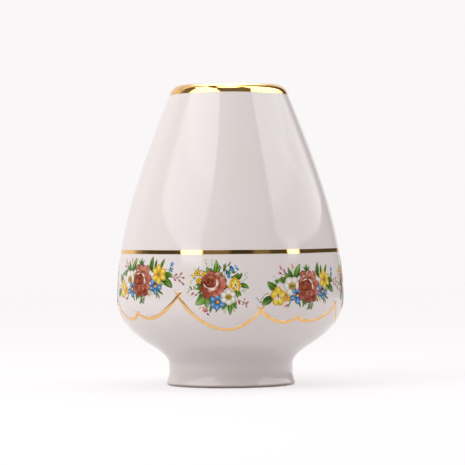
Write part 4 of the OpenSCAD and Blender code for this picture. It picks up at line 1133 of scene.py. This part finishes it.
def softbox(name, azimuth, elevation, distance, width, height, radiance):
    # a soft lamp, so many degrees right of the camera and up from the vase's middle. The gloss doesn't
    # show it: its reflection is one of the room's shapes
    a, e, middle = math.radians(azimuth) + toRight, math.radians(elevation), Vector(lampTarget)
    light = bpy.data.lights.new(name, "AREA")
    light.shape, light.size, light.size_y = "RECTANGLE", width, height
    light.energy = radiance * math.pi * width * height
    lamp = bpy.data.objects.new(name, light)
    lamp.visible_glossy = False
    away = Vector((math.cos(e) * math.sin(a), -math.cos(e) * math.cos(a), math.sin(e)))
    aimed(lamp, middle + away * distance, middle)


floorLook = {                  # metres from the axis where each change starts and ends
    "radii": (0.05, 0.12, 0.3, 0.7, 1.2, 2.6), "around": 96, "below": 0.00002, "fade": (0.6, 2.4),
    # shade: where the painted contact shadow round the foot fades out, and the glow's share at its two ends
    "albedo": 0.36, "rough": 0.9, "glow": 0.70, "shade": (0.034, 0.11, 0.95, 1.0),
    "bounce": (0.036, 0.075, 0.22, 0.66),
}


def makeFloor():               # a disc that fades into the backdrop, a hair below the vase's foot
    g = floorLook
    n = g["around"]
    ring, radii = np.arange(n) * turn / n, np.array(g["radii"])[:, None]
    points = np.stack([radii * np.sin(ring), radii * np.cos(ring), 0 * radii * ring - g["below"]], -1)
    faces = gridFaces(len(radii), n, False, True)[:, ::-1].tolist() + [list(range(n))[::-1]]
    mesh = bpy.data.meshes.new("floor")
    mesh.from_pydata(points.reshape(-1, 3).tolist(), [], faces)
    floor = bpy.data.objects.new("floor", mesh)
    bpy.context.scene.collection.objects.link(floor)

    # the camera sees it glow like the backdrop; to everything else it glows less near the vase
    r = Recipe("paleFloor")
    far = r.node("VectorMath", {"operation": "LENGTH"}, out=1, i0=r.place())
    bounce = r.node("VectorMath", {"operation": "SCALE"}, i0=backdrop, i3=r.within(far, *g["bounce"]))
    glow = r.mixed(r.node("LightPath", out=2), backdrop, bounce)
    # a painted contact shadow: the glow, the camera's as well, is dimmed close round the foot
    glow = r.node("VectorMath", {"operation": "SCALE"}, i0=glow, i3=r.within(far, *g["shade"]))
    r.finish(Base_Color=tuple(c * g["albedo"] for c in backdrop), Roughness=g["rough"],
             Emission_Color=glow, Emission_Strength=g["glow"], Specular_IOR_Level=0.0)
    clear = r.tree.nodes.new("ShaderNodeBsdfTransparent")
    mix = r.tree.nodes.new("ShaderNodeMixShader")
    join(r.tree, mix.inputs[0], r.within(far, *g["fade"]))
    r.tree.links.new(r.shader.outputs[0], mix.inputs[1])
    r.tree.links.new(clear.outputs[0], mix.inputs[2])
    r.tree.links.new(mix.outputs[0], r.tree.nodes["Material Output"].inputs[0])
    mesh.materials.append(r.material)


roomLevels = (                 # degrees to the camera's right, and how bright the room is there
    (-180, 0.95), (-124, 0.90), (-114, 0.36), (-104, 0.16), (-92, 0.08), (-30, 0.07), (-27, 0.22), (-3, 0.20),
    (2, 0.05), (23, 0.05), (27, 0.22), (41, 0.20), (45, 0.08), (152, 0.08), (160, 0.95), (180, 0.95),
)
roomShapes = (                 # bright shapes seen in the gloss: how bright, then the sides each one lies
    # within, as weights of degrees right and degrees up, their least sum, and the softness
    (2.7, ((1, 0, -92, 6), (-1, 0.55, 42, 2), (0, -1, -37, 2), (0.16, 1, 7.9, 0.6))),
    (4.5, ((1, 0.67, -66.5, 2), (-1, 0.55, 42, 2), (-1, -1.05, -27, 2), (0, -1, -69, 1), (0, 1, 35, 2))),
    (4.5, ((1, 0, -124, 3), (-1, 0, 90, 3), (0, 1, 54, 2), (0, -1, -68, 1))),
    (4.5, ((1, 0.5, -45.5, 1.5), (-1, 0, 30, 2), (0, 1, 12, 2), (0, -1, -18, 1))),
    (2.5, ((1, 0, 53, 2), (-1, -0.4, -143, 7), (0.07, 1, 20.8, 0.7), (0.5, 1, 47, 0.7), (0, -1, -27, 3))),
    (4.2, ((1, 0, 53, 2), (1, -1.27, -4.2, 2), (-1, -0.4, -146, 2), (0, 1, 26, 3))),
    (4.2, ((1, 0, 64, 1.5), (-1, 0, -78, 1.5), (0, 1, 12, 1.5), (0, -1, -18, 1))),
)
glint = {"level": 0.9, "slope": 0.44, "at": 69.9, "half": 1.6, "from": 66, "to": 118, "soft": 8}
upper = {                      # above the walls: a dark part, then the ceiling; pale behind the vase
    "dark": 0.18, "low": 25, "high": 40, "ceiling": 4.6, "start": 78, "startSoft": 2,
    "left": -118, "bendFrom": 30, "bend": 0.9, "right": 155, "sideSoft": 3,
    "paleTurn": 150, "paleSum": (45, 62), "paleLevel": (0.95, 4.55),
}
sky = {"front": 0.24, "back": 0.86, "top": 1.0, "turn": (-0.6, 0.5), "rise": (0.2, 1.0)}


def roomLight(r, bearing, climb):
    # what the gloss sees: walls by bearing, a darker part and a ceiling above them, white behind the vase,
    # the bright shapes, and the glint
    u, k = upper, glint
    grey = [(degrees / 360 + 0.5, (level,) * 3) for degrees, level in roomLevels]
    walls = r.node("ValToRGB", {"stops": grey}, Fac=bearing / 360 + 0.5)
    bend = (climb - u["bendFrom"]).maths("MAXIMUM", 0.0) * u["bend"]
    behind = (r.within(bearing + bend, u["left"] - u["sideSoft"], u["left"] + u["sideSoft"], 1, 0)
              + r.within(bearing, u["right"] - u["sideSoft"], u["right"] + u["sideSoft"]))
    high = r.within(climb, u["low"], u["high"])
    room = walls * (1 - high) + high * u["dark"]
    pale = r.within(climb + abs(bearing) - u["paleTurn"], *u["paleSum"], *u["paleLevel"])
    room = room * (1 - high * behind) + high * behind * pale
    for level, sides in roomShapes:
        inside = 1.0
        for across, upward, least, soft in sides:
            inside = r.within(bearing * across + climb * upward, least - soft, least + soft) * inside
        room = room * (1 - inside) + inside * level
    top = r.within(climb, u["start"] - u["startSoft"], u["start"] + u["startSoft"])
    room = room * (1 - top) + top * u["ceiling"]
    off = abs(climb + bearing * k["slope"] - k["at"])
    return room + (r.within(off, 0.0, k["half"], k["level"], 0)
                   * r.within(bearing, k["from"], k["from"] + k["soft"])
                   * r.within(bearing, k["to"] - k["soft"], k["to"], 1, 0))


def makeRoom():
    # a camera ray sees plain backdrop, the gloss sees the room, and everything else is lit by a soft sky
    world = bpy.data.worlds.new("studio")
    bpy.context.scene.world = world
    world.use_nodes = True
    r = Recipe.__new__(Recipe)
    r.tree = world.node_tree
    way = r.node("TexCoord", out=0)

    def along(x, y):
        return r.node("VectorMath", {"operation": "DOT_PRODUCT"}, out=1, i0=way, i1=(x, y, 0))

    ahead = along(-math.sin(toRight), math.cos(toRight))
    right = along(math.cos(toRight), math.sin(toRight))
    up = r.node("SeparateXYZ", out=2, Vector=way)
    bearing = right.maths("ARCTAN2", -1 * ahead) * (360 / turn)
    room = roomLight(r, bearing, up.maths("ARCSINE") * (360 / turn))
    soft = r.within(ahead, *sky["turn"], sky["front"], sky["back"])
    soft = soft + r.within(up, *sky["rise"]) * (sky["top"] - soft)
    light = r.mixed(r.node("LightPath", out=3), soft, room)
    lit = r.mixed(1.0, light, backdrop, "MULTIPLY")
    seen = r.mixed(r.node("LightPath"), lit, backdrop)
    join(r.tree, r.tree.nodes["Background"].inputs[0], seen)


makeCamera()
makeFloor()
makeRoom()
for name, place in lamps.items():
    softbox(name, *place)
bpy.context.scene.view_settings.view_transform = "Standard"
print("studio ready")
